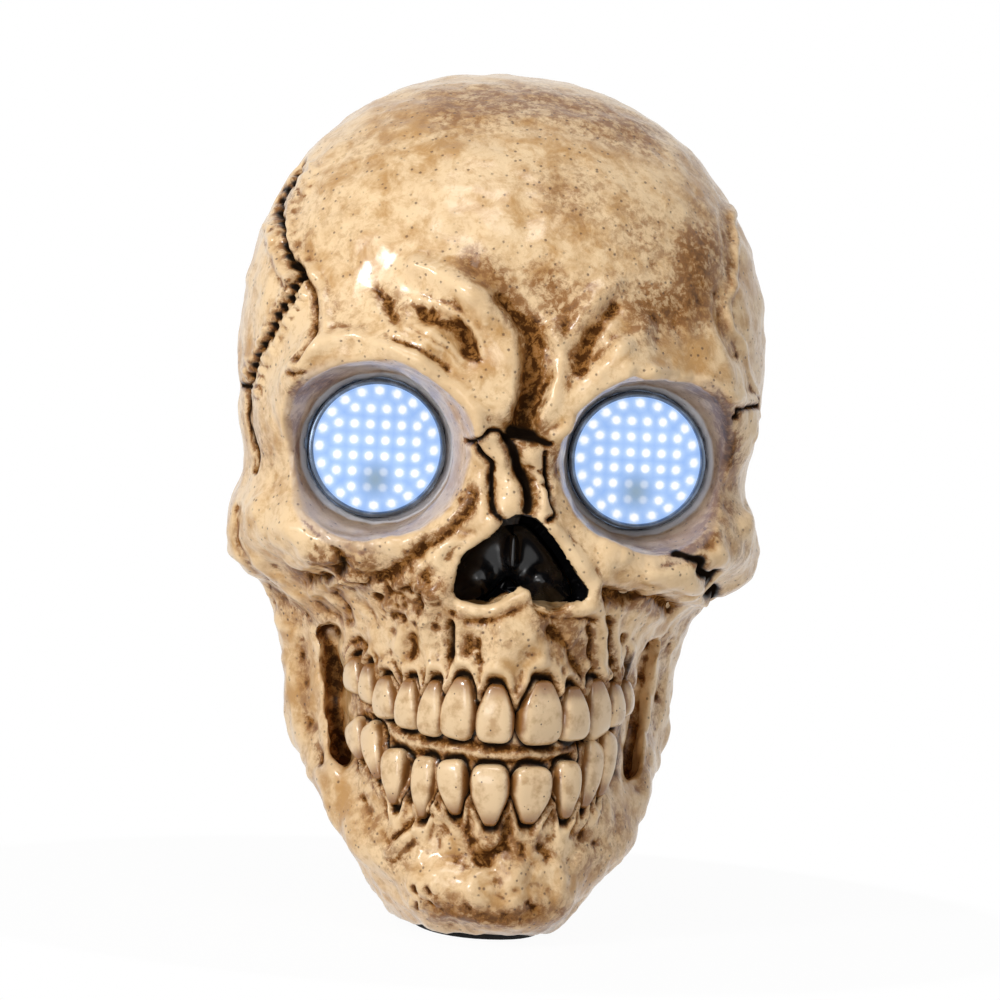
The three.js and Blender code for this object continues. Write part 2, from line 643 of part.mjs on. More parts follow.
// The box goes as deep as its cells and contacts need in front of the door's nearest corners.
const contactReach = ((CELL_COUNT - 1) * cellPitch + CONTACT_SIZE) / 2;
const doorNear = Math.min(
  ...[boxBottom, boxTop].map((z) => wallY(contactReach, z, SHELL_WALL, false)),
);
const cellY = doorNear - DOOR_ROOM - Math.max(CELL_RADIUS, CONTACT_SIZE / 2);
const boxFloorBack = cellY - CELL_RADIUS - CLEARANCE;
const boxFloorFront = boxFloorBack - BOX_WALL;
const doorHalfWidth = boxHalfWidth + BOX_WALL + DOOR_MARGIN;
const doorScrewHeights = {
  upper: boxTop + BOX_WALL + DOOR_SCREW_MARGIN,
  lower: boxBottom - BOX_WALL - DOOR_SCREW_MARGIN,
};
const doorBossRadius = BOSS_RADIUS + BOSS_TIP;
const doorTop = doorScrewHeights.upper + doorBossRadius;
const doorBottom = doorScrewHeights.lower - doorBossRadius;
const ledgeHalfWidth = doorHalfWidth + DOOR_LEDGE;
const boxScrewX = ledgeHalfWidth + BOSS_RADIUS + BOSS_TIP;
const boxScrews = [];
for (const [hand, side] of Object.entries(SIDES)) {
  for (const [level, step] of Object.entries({ upper: 1, lower: -1 })) {
    const z = BOX_CENTRE_HEIGHT + step * BOX_SCREW_SPREAD;
    boxScrews.push({ name: `${level}_${hand}_box_screw`, x: side * boxScrewX, z });
  }
}

// Switch sizes.
const recessFloorY = backY(0, SWITCH_HEIGHT) - SWITCH_RECESS_DEPTH;
const padFaceY = recessFloorY - SWITCH_PAD_THICKNESS;
const sliderReach = SLIDER_HALF_WIDTH + SWITCH_TRAVEL / 2 + CLEARANCE;
const sliderSlotHalfHeight = SLIDER_HALF_HEIGHT + CLEARANCE;
const switchFace = padFaceY - CLEARANCE;

// Rear half: the back of the head with its screw tubes, door opening and switch recess.
let rear = cut(outer, hollow);
const rearWalls = [];
const rearPosts = [];
const rearCuts = [];
for (const { x, z } of shellScrews) {
  rearWalls.push(rod(BOSS_RADIUS + BOSS_TIP, x, z, seamBack, FAR_BACK));
  rearCuts.push(rod(headRadius, x, z, shellSeatY, FAR_BACK, POCKET_SIDES));
  rearCuts.push(rod(pilotRadius, x, z, seamBack - THROUGH, shellSeatY + THROUGH));
}
for (const { x, z } of boxScrews) {
  rearPosts.push(rod(BOSS_RADIUS, x, z, boxFloorBack + CLEARANCE, FAR_BACK));
  rearCuts.push(rod(pilotRadius, x, z, boxFloorBack, boxFloorFront + BOX_SCREW_LENGTH + BOSS_TIP));
}
rearPosts.push(block(
  -SWITCH_PAD_HALF_WIDTH, SWITCH_PAD_HALF_WIDTH, padFaceY, FAR_BACK,
  SWITCH_HEIGHT - SWITCH_PAD_HALF_HEIGHT, SWITCH_HEIGHT + SWITCH_PAD_HALF_HEIGHT,
));
const recess = roundedPanel(
  SWITCH_RECESS_HALF_WIDTH, SWITCH_HEIGHT - SWITCH_RECESS_HALF_HEIGHT,
  SWITCH_HEIGHT + SWITCH_RECESS_HALF_HEIGHT, SWITCH_RECESS_HALF_HEIGHT / 2,
);
rearCuts.push(panel(recess, recessFloorY, FAR_BACK));
rearCuts.push(block(
  -sliderReach, sliderReach, padFaceY - THROUGH, recessFloorY + THROUGH,
  SWITCH_HEIGHT - sliderSlotHalfHeight, SWITCH_HEIGHT + sliderSlotHalfHeight,
));
const switchScrewEnd = switchFace - SWITCH_EAR_THICKNESS - CLEARANCE + SWITCH_SCREW_LENGTH;
for (const side of Object.values(SIDES)) {
  const x = side * SWITCH_SCREW_SPREAD;
  rearCuts.push(rod(pilotRadius, x, SWITCH_HEIGHT, padFaceY - THROUGH, switchScrewEnd + CLEARANCE));
}
const opening = roundedPanel(
  doorHalfWidth + DOOR_EDGE_GAP, doorBottom - DOOR_EDGE_GAP, doorTop + DOOR_EDGE_GAP, DOOR_CORNER,
);
rearCuts.push(panel(opening, boxFloorFront, FAR_BACK));
rear = join(rear, join(...rearWalls, ...rearPosts).intersect(core), baseSupport);
place('rear_shell', BONE, cut(rear.intersect(halfSpace.rear), ...rearCuts, ...basePilots));

// Battery door: the patch of the shell that lifts straight off the back.
const doorShape = roundedPanel(doorHalfWidth, doorBottom, doorTop, DOOR_CORNER);
let door = cut(outer, hollow).intersect(panel(doorShape, boxFloorFront, FAR_BACK));
const doorSeats = {};
for (const [level, z] of Object.entries(doorScrewHeights)) {
  const skinY = backY(0, z);
  const seatY = skinY - DOOR_SEAT_DEPTH;
  doorSeats[level] = { z, seatY, bossY: skinY - DOOR_BOSS_DEPTH };
  door = join(door, rod(doorBossRadius, 0, z, skinY - DOOR_BOSS_DEPTH, FAR_BACK).intersect(core));
  door = cut(door, rod(headRadius, 0, z, seatY, FAR_BACK, POCKET_SIDES));
  door = cut(door, rod(pilotRadius, 0, z, boxFloorFront, FAR_BACK));
}
place('battery_door', BONE, door);

// Battery box: walls that run out to the shell, a ledge under the door's edge, lugs and standoffs.
const boxShape = (grow) => roundedPanel(
  boxHalfWidth + grow, boxBottom - grow, boxTop + grow, grow + 1,
);
const ledgeShape = roundedPanel(
  ledgeHalfWidth, doorBottom - DOOR_LEDGE, doorTop + DOOR_LEDGE, DOOR_CORNER + DOOR_LEDGE,
);
const ledgeInside = skin(SHELL_WALL + CLEARANCE + BOX_WALL, UNDERCUT, COARSE);
let box = panel(boxShape(BOX_WALL), boxFloorFront, FAR_BACK).intersect(inside);
box = join(box, cut(panel(ledgeShape, boxFloorFront, FAR_BACK).intersect(inside), ledgeInside));
for (const [level, { z, bossY }] of Object.entries(doorSeats)) {
  const lugBack = bossY - CLEARANCE;
  const lugFront = lugBack - DOOR_SCREW_LENGTH;
  const wall = level === 'upper' ? boxTop + BOX_WALL / 2 : boxBottom - BOX_WALL / 2;
  const tip = level === 'upper' ? z + doorBossRadius : z - doorBossRadius;
  const lug = block(
    -doorBossRadius, doorBossRadius, lugFront, lugBack, Math.min(wall, tip), Math.max(wall, tip),
  );
  box = cut(box, rod(doorBossRadius + CLEARANCE, 0, z, lugBack, FAR_BACK));
  box = cut(join(box, lug.intersect(inside)), rod(pilotRadius, 0, z, lugFront + BOSS_TIP, FAR_BACK));
}
for (const { x, z } of boxScrews) {
  const side = Math.sign(x);
  const reach = [side * (boxHalfWidth + BOX_WALL / 2), x + side * BOSS_RADIUS];
  const lug = block(
    Math.min(...reach), Math.max(...reach), boxFloorFront, boxFloorBack,
    z - BOX_LUG_HALF_HEIGHT, z + BOX_LUG_HALF_HEIGHT,
  );
  box = cut(join(box, lug), rod(pilotRadius, x, z, boxFloorFront - THROUGH, boxFloorBack + THROUGH));
}
const boardBack = boxFloorFront - BOARD_STANDOFF - CLEARANCE;
const boardFront = boardBack - BOARD_THICKNESS;
for (const side of Object.values(SIDES)) {
  const x = side * BOARD_SCREW_SPREAD;
  const standoffFront = boxFloorFront - BOARD_STANDOFF;
  box = join(box, rod(BOSS_RADIUS - BOSS_TIP, x, BOX_CENTRE_HEIGHT, standoffFront, boxFloorBack));
}
box = cut(box, panel(boxShape(0), boxFloorBack, FAR_BACK));
for (const side of Object.values(SIDES)) {
  const x = side * BOARD_SCREW_SPREAD;
  box = cut(box, rod(pilotRadius, x, BOX_CENTRE_HEIGHT, 0, boxFloorFront + BOSS_TIP / 2));
}
place('battery_box', DARK_PLASTIC, box);

// Cells stand side by side with every second one turned over. Its spring is at its flat end.
const contactRoom = 2 * CLEARANCE + CONTACT_THICKNESS;
const springLength = boxHeight - CELL_LENGTH - 2 * contactRoom - CLEARANCE;
class ConeSpring extends THREE.Curve {
  getPoint(t, target = new THREE.Vector3()) {
    const radius = THREE.MathUtils.lerp(SPRING_WIDE_RADIUS, SPRING_NARROW_RADIUS, t);
    const angle = 2 * Math.PI * SPRING_TURNS * t;
    const climb = SPRING_WIRE_RADIUS + (springLength - 2 * SPRING_WIRE_RADIUS) * t;
    return target.set(radius * Math.cos(angle), radius * Math.sin(angle), climb);
  }
}
const springCurve = new ConeSpring();
const springWire = new THREE.ExtrudeGeometry(roundSection(SPRING_WIRE_RADIUS, SPRING_WIRE_SIDES), {
  extrudePath: springCurve, steps: SPRING_TURN_STEPS * SPRING_TURNS,
});

function leastSpringGap() {
  const samplesPerTurn = 48;
  const samples = springCurve.getPoints(samplesPerTurn * SPRING_TURNS);
  let least = Infinity;
  for (let i = 0; i < samples.length; i += 1) {
    for (let j = i + samplesPerTurn / 2; j < samples.length; j += 1) {
      least = Math.min(least, samples[i].distanceTo(samples[j]));
    }
  }
  return least - 2 * SPRING_WIRE_RADIUS;
}
console.log(`battery spring, least gap to itself: ${leastSpringGap().toFixed(2)} mm`);

const cellProfile = [
  [0, 0], [CELL_RADIUS, 0], [CELL_RADIUS, CELL_LENGTH - CELL_NUB_HEIGHT],
  [CELL_NUB_RADIUS, CELL_LENGTH - CELL_NUB_HEIGHT], [CELL_NUB_RADIUS, CELL_LENGTH], [0, CELL_LENGTH],
];
for (let i = 0; i < CELL_COUNT; i += 1) {
  const x = (i - (CELL_COUNT - 1) / 2) * cellPitch;
  const flipped = i % 2 === 1;
  const upright = turned(cellProfile, CELL_SIDES).rotateX(Math.PI / 2);
  const spring = springWire.clone().translate(0, 0, contactRoom);
  const cell = upright.translate(0, 0, boxHeight - contactRoom - CELL_LENGTH);
  for (const piece of [cell, spring]) {
    if (flipped) piece.translate(0, 0, -boxHeight).rotateX(Math.PI);
    piece.translate(x, cellY, boxBottom);
  }
  place(`battery_cell_${i + 1}`, CELL_SLEEVE, solid(cell));
  place(`battery_spring_${i + 1}`, STEEL, solid(spring));
}

// Contact plates: at each end of the box one cell's own, and a bridge between two.
function contact(name, x, width, z) {
  const half = CONTACT_SIZE / 2;
  place(name, STEEL, block(
    x - width / 2, x + width / 2, cellY - half, cellY + half, z, z + CONTACT_THICKNESS,
  ));
}
const bridgeWidth = cellPitch + CONTACT_SIZE;
const lowContact = boxBottom + CLEARANCE;
const highContact = boxTop - CLEARANCE - CONTACT_THICKNESS;
contact('positive_contact', -cellPitch, CONTACT_SIZE, highContact);
contact('upper_bridge_contact', cellPitch / 2, bridgeWidth, highContact);
contact('lower_bridge_contact', -cellPitch / 2, bridgeWidth, lowContact);
contact('negative_contact', cellPitch, CONTACT_SIZE, lowContact);

// Screws point along +Y until they are turned.
function screw(length) {
  return turned([
    [0, -SCREW_HEAD_HEIGHT], [SCREW_HEAD_RADIUS, -SCREW_HEAD_HEIGHT / 2], [SCREW_HEAD_RADIUS, 0],
    [SCREW_RADIUS, 0], [SCREW_RADIUS, length - SCREW_RADIUS], [0, length],
  ], SCREW_SIDES);
}
const screwAhead = (name, length, x, y, z) =>
  place(name, STEEL, solid(screw(length).rotateX(Math.PI).translate(x, y, z)));
const screwBack = (name, length, x, y, z) =>
  place(name, STEEL, solid(screw(length).translate(x, y, z)));
for (const [level, { z, seatY }] of Object.entries(doorSeats)) {
  screwAhead(`${level}_door_screw`, DOOR_SCREW_LENGTH, 0, seatY + CLEARANCE, z);
}
for (const { name, x, z } of boxScrews) {
  screwBack(name, BOX_SCREW_LENGTH, x, boxFloorFront - CLEARANCE, z);
}
for (const { name, x, z } of shellScrews) {
  screwAhead(name, SHELL_SCREW_LENGTH, x, shellSeatY + CLEARANCE, z);
}

// Base plate, its screws and the pad that the skull stands on.
function footShape(inset) {
  const points = [];
  for (let i = 0; i < FOOT_POINTS; i += 1) {
    const { x, y } = skinPoint((2 * Math.PI * i) / FOOT_POINTS, PAD_THICKNESS, inset);
    points.push(new THREE.Vector2(x, y));
  }
  return new THREE.Shape(points);
}
const footSlab = (inset, z0, z1) => solid(
  new THREE.ExtrudeGeometry(footShape(inset), { depth: z1 - z0, bevelEnabled: false }).translate(0, 0, z0),
);
let plate = footSlab(plateInset, PAD_THICKNESS, plateTop);
const baseSeat = PAD_THICKNESS + SCREW_HEAD_HEIGHT + 2 * CLEARANCE;
for (const { name, x, y } of baseScrews) {
  plate = cut(plate, post(headRadius, x, y, 0, baseSeat), post(pilotRadius, x, y, 0, plateTop + THROUGH));
  const upward = screw(BASE_SCREW_LENGTH).rotateX(Math.PI / 2);
  place(name, STEEL, solid(upward.translate(x, y, baseSeat - CLEARANCE)));
}
place('base_plate', DARK_PLASTIC, plate);
place('anti_slip_pad', RUBBER_PAD, footSlab(SHELL_WALL + PAD_INSET, 0, PAD_THICKNESS));

// Nose insert: a glossy black floor with the septum and two rounded turbinates in front.
let insert = panel(noseShape(-CLEARANCE), NOSE_INSERT_Y, noseBack);
const septumTop = NOSE_OUTLINE[0][1] - NOSE_WALL;
const septumBottom = NOSE_OUTLINE[NOSE_OUTLINE.length - 1][1] + CLEARANCE + SEPTUM_WIDTH / 2;
insert = join(insert, block(
  -SEPTUM_WIDTH / 2, SEPTUM_WIDTH / 2, NOSE_INSERT_Y - SEPTUM_DEPTH, NOSE_INSERT_Y + THROUGH,
  septumBottom, septumTop,
));
for (const side of Object.values(SIDES)) {
  const ball = new THREE.SphereGeometry(TURBINATE_RADIUS, 10, 6);
  ball.translate(side * TURBINATE_OFFSET, NOSE_INSERT_Y, TURBINATE_HEIGHT);
  insert = join(insert, solid(ball));
}
place('nose_insert', NOSE_BLACK, insert);

// Controller board with its chips, on the box's standoffs.
let board = block(
  -BOARD_WIDTH / 2, BOARD_WIDTH / 2, boardFront, boardBack,
  BOX_CENTRE_HEIGHT - BOARD_HEIGHT / 2, BOX_CENTRE_HEIGHT + BOARD_HEIGHT / 2,
);
for (const [x, z] of CHIP_PLACES) {
  board = join(board, block(
    x - CHIP_SIZE / 2, x + CHIP_SIZE / 2, boardFront - CHIP_HEIGHT, boardFront + BOARD_THICKNESS / 2,
    BOX_CENTRE_HEIGHT + z - CHIP_SIZE / 2, BOX_CENTRE_HEIGHT + z + CHIP_SIZE / 2,
  ));
}
for (const [hand, side] of Object.entries(SIDES)) {
  const x = side * BOARD_SCREW_SPREAD;
  board = cut(board, rod(pilotRadius, x, BOX_CENTRE_HEIGHT, boardFront - THROUGH, boardBack + THROUGH));
  screwBack(`${hand}_board_screw`, BOARD_SCREW_LENGTH, x, boardFront - CLEARANCE, BOX_CENTRE_HEIGHT);
}
place('controller_board', BOARD_GREEN, board);

// Slide switch: a body behind the shell's pad, and a knob that shows in the recess.
const bodyHalfWidth = sliderReach + SLIDER_SHOULDER + SWITCH_BODY_WALL;
const bodyHalfHeight = SLIDER_HALF_HEIGHT + SLIDER_SHOULDER + CLEARANCE + SWITCH_BODY_WALL;
const earHalfWidth = SWITCH_SCREW_SPREAD + SCREW_HEAD_RADIUS;
const switchFloor = switchFace - SLIDER_BASE_THICKNESS - 2 * CLEARANCE;
let switchBody = join(
  block(
    -bodyHalfWidth, bodyHalfWidth, switchFace - SWITCH_BODY_DEPTH, switchFace,
    SWITCH_HEIGHT - bodyHalfHeight, SWITCH_HEIGHT + bodyHalfHeight,
  ),
  block(
    -earHalfWidth, earHalfWidth, switchFace - SWITCH_EAR_THICKNESS, switchFace,
    SWITCH_HEIGHT - SCREW_HEAD_RADIUS, SWITCH_HEIGHT + SCREW_HEAD_RADIUS,
  ),
);
switchBody = cut(switchBody, block(
  -bodyHalfWidth + SWITCH_BODY_WALL, bodyHalfWidth - SWITCH_BODY_WALL, switchFloor, FAR_BACK,
  SWITCH_HEIGHT - bodyHalfHeight + SWITCH_BODY_WALL, SWITCH_HEIGHT + bodyHalfHeight - SWITCH_BODY_WALL,
));
for (const [hand, side] of Object.entries(SIDES)) {
  const x = side * SWITCH_SCREW_SPREAD;
  switchBody = cut(switchBody, rod(pilotRadius, x, SWITCH_HEIGHT, 0, FAR_BACK));
  const headY = switchFace - SWITCH_EAR_THICKNESS - CLEARANCE;
  screwBack(`${hand}_switch_screw`, SWITCH_SCREW_LENGTH, x, headY, SWITCH_HEIGHT);
}
place('switch_body', DARK_PLASTIC, switchBody);
const sliderX = SWITCH_TRAVEL / 2;
const sliderBaseFront = switchFloor + CLEARANCE;
const sliderBaseBack = sliderBaseFront + SLIDER_BASE_THICKNESS;
const slider = join(
  block(
    sliderX - SLIDER_HALF_WIDTH - SLIDER_SHOULDER, sliderX + SLIDER_HALF_WIDTH + SLIDER_SHOULDER,
    sliderBaseFront, sliderBaseBack,
    SWITCH_HEIGHT - SLIDER_HALF_HEIGHT - SLIDER_SHOULDER,
    SWITCH_HEIGHT + SLIDER_HALF_HEIGHT + SLIDER_SHOULDER,
  ),
  block(
    sliderX - SLIDER_HALF_WIDTH, sliderX + SLIDER_HALF_WIDTH, sliderBaseFront, recessFloorY + SLIDER_PROUD,
    SWITCH_HEIGHT - SLIDER_HALF_HEIGHT, SWITCH_HEIGHT + SLIDER_HALF_HEIGHT,
  ),
);
place('switch_slider', DARK_PLASTIC, slider);

// Lamp places on one eye's board: a square field without its corners, inside a ring.
const ledPlaces = [];
for (let row = 0; row < LED_ROWS; row += 1) {
  for (let column = 0; column < LED_ROWS; column += 1) {
    const onEnd = (i) => i === 0 || i === LED_ROWS - 1;
    const at = (i) => (i - (LED_ROWS - 1) / 2) * LED_PITCH;
    if (!(onEnd(row) && onEnd(column))) ledPlaces.push([at(column), at(row)]);
  }
}
for (let i = 0; i < LED_RING_COUNT; i += 1) {
  const angle = (2 * Math.PI * (i + 0.5)) / LED_RING_COUNT;
  ledPlaces.push([LED_RING_RADIUS * Math.cos(angle), LED_RING_RADIUS * Math.sin(angle)]);
}

// Wires with a round section, along points chosen by hand.
function lead(name, points) {
  const section = roundSection(LEAD_RADIUS, LEAD_SIDES);
  const path = new THREE.CatmullRomCurve3(points.map((point) => new THREE.Vector3(...point)));
  const tube = new THREE.ExtrudeGeometry(section, { extrudePath: path, steps: LEAD_STEPS });
  place(name, LEAD_SLEEVE, solid(tube));
}

// Each eye from front to back: bezel, lens, lamp board, cup, two screws and a lead.
const boardMeet = boardFront - CLEARANCE;
const leadEntry = BOX_CENTRE_HEIGHT - BOARD_HEIGHT / 2 + LEAD_TURN;
for (const [hand, side] of Object.entries(SIDES)) {
  const x = side * EYE_OFFSET;
  const at = (geometry) => geometry.translate(x, EYE_SEAT_Y, EYE_HEIGHT);
  const lipRadius = LENS_RADIUS - BEZEL_LIP;
  const lipBack = BEZEL_LIP_THICKNESS - BEZEL_NOSE;
  place(`${hand}_eye_bezel`, BEZEL_GLOSS, solid(at(turned([
    [lipRadius, lipBack], [lipRadius, -BEZEL_NOSE], [bezelNoseRadius, -BEZEL_NOSE],
    [bezelNoseRadius, flangeFront], [flangeRadius, flangeFront], [flangeRadius, flangeBack],
    [ledBoardRadius, flangeBack], [ledBoardRadius, skirtBack], [lensPocketRadius, skirtBack],
    [lensPocketRadius, lipBack],
  ], EYE_SIDES))));

  const lensFront = lipBack + CLEARANCE;
  const domeRadius = lipRadius - CLEARANCE;
  place(`${hand}_eye_lens`, LENS_BLUE, solid(at(turned([
    [0, lensFront + LENS_THICKNESS], [LENS_RADIUS, lensFront + LENS_THICKNESS], [LENS_RADIUS, lensFront],
    [domeRadius, lensFront],
    [domeRadius * LENS_SHOULDER.radiusShare, lensFront - LENS_BULGE * LENS_SHOULDER.bulgeShare],
    [0, lensFront - LENS_BULGE],
  ], EYE_SIDES))));

  const ledPlateFront = EYE_SEAT_Y + ledBoardFront;
  const ledPlateBack = EYE_SEAT_Y + ledBoardBack;
  const ledPlate = rod(ledBoardRadius, x, EYE_HEIGHT, ledPlateFront, ledPlateBack, EYE_SIDES);
  const leds = ledPlaces.map(([across, up]) => block(
    x + across - LED_SIZE / 2, x + across + LED_SIZE / 2,
    ledPlateFront - LED_HEIGHT, ledPlateFront + LED_BOARD_THICKNESS / 2,
    EYE_HEIGHT + up - LED_SIZE / 2, EYE_HEIGHT + up + LED_SIZE / 2,
  ));
  place(`${hand}_led_board`, BOARD_GREEN, join(ledPlate, ...leds));

  const innerRadius = ledBoardRadius - CUP_LEDGE;
  let cup = solid(at(turned([
    [ledBoardRadius + CLEARANCE, cupFront], [flangeRadius, cupFront], [flangeRadius, cupBack],
    [2 * LEAD_RADIUS, cupBack], [2 * LEAD_RADIUS, cupFloor], [innerRadius, cupFloor],
    [innerRadius, cupLedge], [ledBoardRadius + CLEARANCE, cupLedge],
  ], EYE_SIDES)));
  for (const [level, step] of Object.entries({ upper: 1, lower: -1 })) {
    const z = EYE_HEIGHT + step * eyeScrewOffset;
    const root = EYE_HEIGHT + step * (flangeRadius - CUP_WALL / 2);
    const tip = z + step * BOSS_RADIUS;
    const ear = block(
      x - BOSS_RADIUS, x + BOSS_RADIUS, EYE_SEAT_Y + earFront, EYE_SEAT_Y + earBack,
      Math.min(root, tip), Math.max(root, tip),
    );
    const hole = rod(pilotRadius, x, z, EYE_SEAT_Y, 0);
    cup = join(cup, cut(ear, hole));
    screwAhead(`${hand}_${level}_eye_screw`, EYE_SCREW_LENGTH, x, EYE_SEAT_Y + earBack + CLEARANCE, z);
  }
  place(`${hand}_eye_cup`, DARK_PLASTIC, cup);

  const lampEnd = EYE_SEAT_Y + ledBoardBack + CLEARANCE;
  const entryX = side * EYE_LEAD_SPREAD;
  const lampSide = lampEnd + LEAD_STRAIGHT;
  const boardSide = boardMeet - LEAD_STRAIGHT;
  lead(`${hand}_eye_lead`, [
    [x, lampEnd, EYE_HEIGHT],
    [x, lampSide, EYE_HEIGHT],
    [(x + entryX) / 2, (lampSide + boardSide) / 2, (EYE_HEIGHT + leadEntry) / 2 - LEAD_SAG],
    [entryX, boardSide, leadEntry],
    [entryX, boardMeet, leadEntry],
  ]);
}
const boxFoot = boxBottom - BOX_WALL - CLEARANCE;
const batteryLeadY = cellY - LEAD_TURN;
lead('battery_lead', [
  [BATTERY_LEAD_OFFSET, batteryLeadY, boxFoot],
  [BATTERY_LEAD_OFFSET, batteryLeadY, boxFoot - LEAD_TURN],
  [BATTERY_LEAD_OFFSET, boxFloorFront, boxFoot - LEAD_DROP],
  [BATTERY_LEAD_OFFSET, boxFloorFront - LEAD_STRAIGHT, boxFoot - LEAD_TURN],
  [BOARD_LEAD_SPREAD, boardMeet - LEAD_STRAIGHT, leadEntry - LEAD_TURN],
  [BOARD_LEAD_SPREAD, boardMeet - LEAD_TURN, leadEntry],
  [BOARD_LEAD_SPREAD, boardMeet, leadEntry],
]);
const switchBack = switchFace - SWITCH_BODY_DEPTH - CLEARANCE;
lead('switch_lead', [
  [0, switchBack, SWITCH_HEIGHT],
  [0, switchBack - LEAD_TURN, SWITCH_HEIGHT],
  [0, switchBack - LEAD_STRAIGHT, SWITCH_HEIGHT + LEAD_DROP],
  [-BOARD_LEAD_SPREAD / 2, boardMeet - 2 * LEAD_STRAIGHT, (SWITCH_HEIGHT + leadEntry) / 2],
  [-BOARD_LEAD_SPREAD, boardMeet - LEAD_STRAIGHT, leadEntry - LEAD_DROP],
  [-BOARD_LEAD_SPREAD, boardMeet - LEAD_TURN, leadEntry],
  [-BOARD_LEAD_SPREAD, boardMeet, leadEntry],
]);

export default skull;
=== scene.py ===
import math

import bpy
import numpy as np
from mathutils import Matrix, Vector
from mathutils.bvhtree import BVHTree


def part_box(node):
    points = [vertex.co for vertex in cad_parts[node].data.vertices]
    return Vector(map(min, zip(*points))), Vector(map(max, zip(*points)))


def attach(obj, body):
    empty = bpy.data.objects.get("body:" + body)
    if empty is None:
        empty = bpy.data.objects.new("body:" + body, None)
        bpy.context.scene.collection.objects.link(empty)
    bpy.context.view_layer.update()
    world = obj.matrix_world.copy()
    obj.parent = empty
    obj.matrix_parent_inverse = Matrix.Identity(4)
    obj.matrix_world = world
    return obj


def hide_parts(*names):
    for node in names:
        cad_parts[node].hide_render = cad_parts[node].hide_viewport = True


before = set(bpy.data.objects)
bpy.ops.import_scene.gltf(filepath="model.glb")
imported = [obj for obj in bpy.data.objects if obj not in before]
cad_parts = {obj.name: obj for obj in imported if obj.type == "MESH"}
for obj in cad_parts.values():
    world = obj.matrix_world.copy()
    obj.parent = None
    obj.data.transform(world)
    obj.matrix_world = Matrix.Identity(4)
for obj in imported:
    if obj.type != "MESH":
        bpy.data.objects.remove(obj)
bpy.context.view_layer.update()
bpy.context.scene.view_settings.view_transform = "Standard"

# Camera: a long lens a little to the skull's right and above its eyes. It leans, so that the eye line
# falls to the right. The carving below is placed by what this camera sees, in pixels of a square image.
CAMERA_AZIMUTH = math.radians(-7.0)
CAMERA_ELEVATION = math.radians(3.5)
CAMERA_LEAN = math.radians(3.1)
CAMERA_DISTANCE = 1.5
CAMERA_AIM = Vector((0.0026, -0.010, 0.1016))
CAMERA_LENS = 222.0
SENSOR_WIDTH = 36.0
IMAGE_SIDE = 1000
VIEW_REACH = 20.0
PIXELS_PER_SLOPE = CAMERA_LENS / SENSOR_WIDTH * IMAGE_SIDE
PIXEL_SIZE = CAMERA_DISTANCE / PIXELS_PER_SLOPE

towards_camera = Vector((
    math.sin(CAMERA_AZIMUTH) * math.cos(CAMERA_ELEVATION),
    -math.cos(CAMERA_AZIMUTH) * math.cos(CAMERA_ELEVATION),
    math.sin(CAMERA_ELEVATION),
))
level_right = Vector((0, 0, 1)).cross(towards_camera).normalized()
level_up = towards_camera.cross(level_right)
image_right = level_right * math.cos(CAMERA_LEAN) + level_up * math.sin(CAMERA_LEAN)
image_up = level_up * math.cos(CAMERA_LEAN) - level_right * math.sin(CAMERA_LEAN)
camera_place = CAMERA_AIM + towards_camera * CAMERA_DISTANCE

camera_data = bpy.data.cameras.new("camera")
camera_data.lens = CAMERA_LENS
camera_data.sensor_width = SENSOR_WIDTH
camera_data.clip_end = VIEW_REACH
camera = bpy.data.objects.new("camera", camera_data)
camera.matrix_world = Matrix.Translation(camera_place) @ (
    Matrix((image_right, image_up, towards_camera)).transposed().to_4x4()
)
bpy.context.scene.collection.objects.link(camera)
bpy.context.scene.camera = camera


def pixels_of(points):
    """Where points in metres show in the image, in pixels from its top left corner."""
    away = points - np.array(camera_place)
    depth = -(away @ np.array(towards_camera))
    across = away @ np.array(image_right) / depth
    upward = away @ np.array(image_up) / depth
    middle = IMAGE_SIDE / 2
    return np.stack([middle + PIXELS_PER_SLOPE * across, middle - PIXELS_PER_SLOPE * upward], axis=1)


def sight_line(pixel):
    """The direction from the camera through a pixel."""
    across = (pixel[0] - IMAGE_SIDE / 2) / PIXELS_PER_SLOPE
    upward = (IMAGE_SIDE / 2 - pixel[1]) / PIXELS_PER_SLOPE
    return (image_right * across + image_up * upward - towards_camera).normalized()


# Face shell: the front half of a hollow skull, moulded in ivory plastic with the bone's folds, pits and
# cracks in it, then washed brown in the hollows and lacquered. It is screwed to the rear shell. Its colour
# also holds painted shade in the broad hollows, the sockets and some grooves, and painted highlights on the
# raised places.
MM = 0.001
FACE_VOXEL = 1.2 * MM
SOCKET_WALL_DEPTHS = (-62, -40)
SOCKET_WALL_RADII = (22.6, 18.3)
SMOOTHING_ROUNDS = 40
FORM_KEPT = 1.03
MOUTH_ROUNDS = 90
MOST_TRIANGLES = 190000
SEAM_HOLD = (0.8, 4)
SOCKET_BLEND = (36, 25)
SOCKET_NEAR = (27, 22)
MOUTH_DEPTHS = (-34, -44)
MOUTH_FLOOR = (22, 30)
MOUTH_ROOF = (70, 63)
NOSE_HEIGHT = 89
NOSE_NEAR = (24, 16)
left_eye = (Vector(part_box("left_eye_lens")[0]) + Vector(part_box("left_eye_lens")[1])) / 2 / MM
right_eye = (Vector(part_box("right_eye_lens")[0]) + Vector(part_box("right_eye_lens")[1])) / 2 / MM
seam_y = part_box("face_shell")[1].y / MM
rim_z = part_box("face_shell")[0].z / MM


def only(piece):
    """Make a piece the one thing selected."""
    bpy.ops.object.select_all(action="DESELECT")
    piece.select_set(True)
    bpy.context.view_layer.objects.active = piece


def applied(piece, kind, **settings):
    """Add a modifier to a piece and apply it."""
    only(piece)
    modifier = piece.modifiers.new(kind, kind)
    for key, value in settings.items():
        setattr(modifier, key, value)
    bpy.ops.object.modifier_apply(modifier=modifier.name)


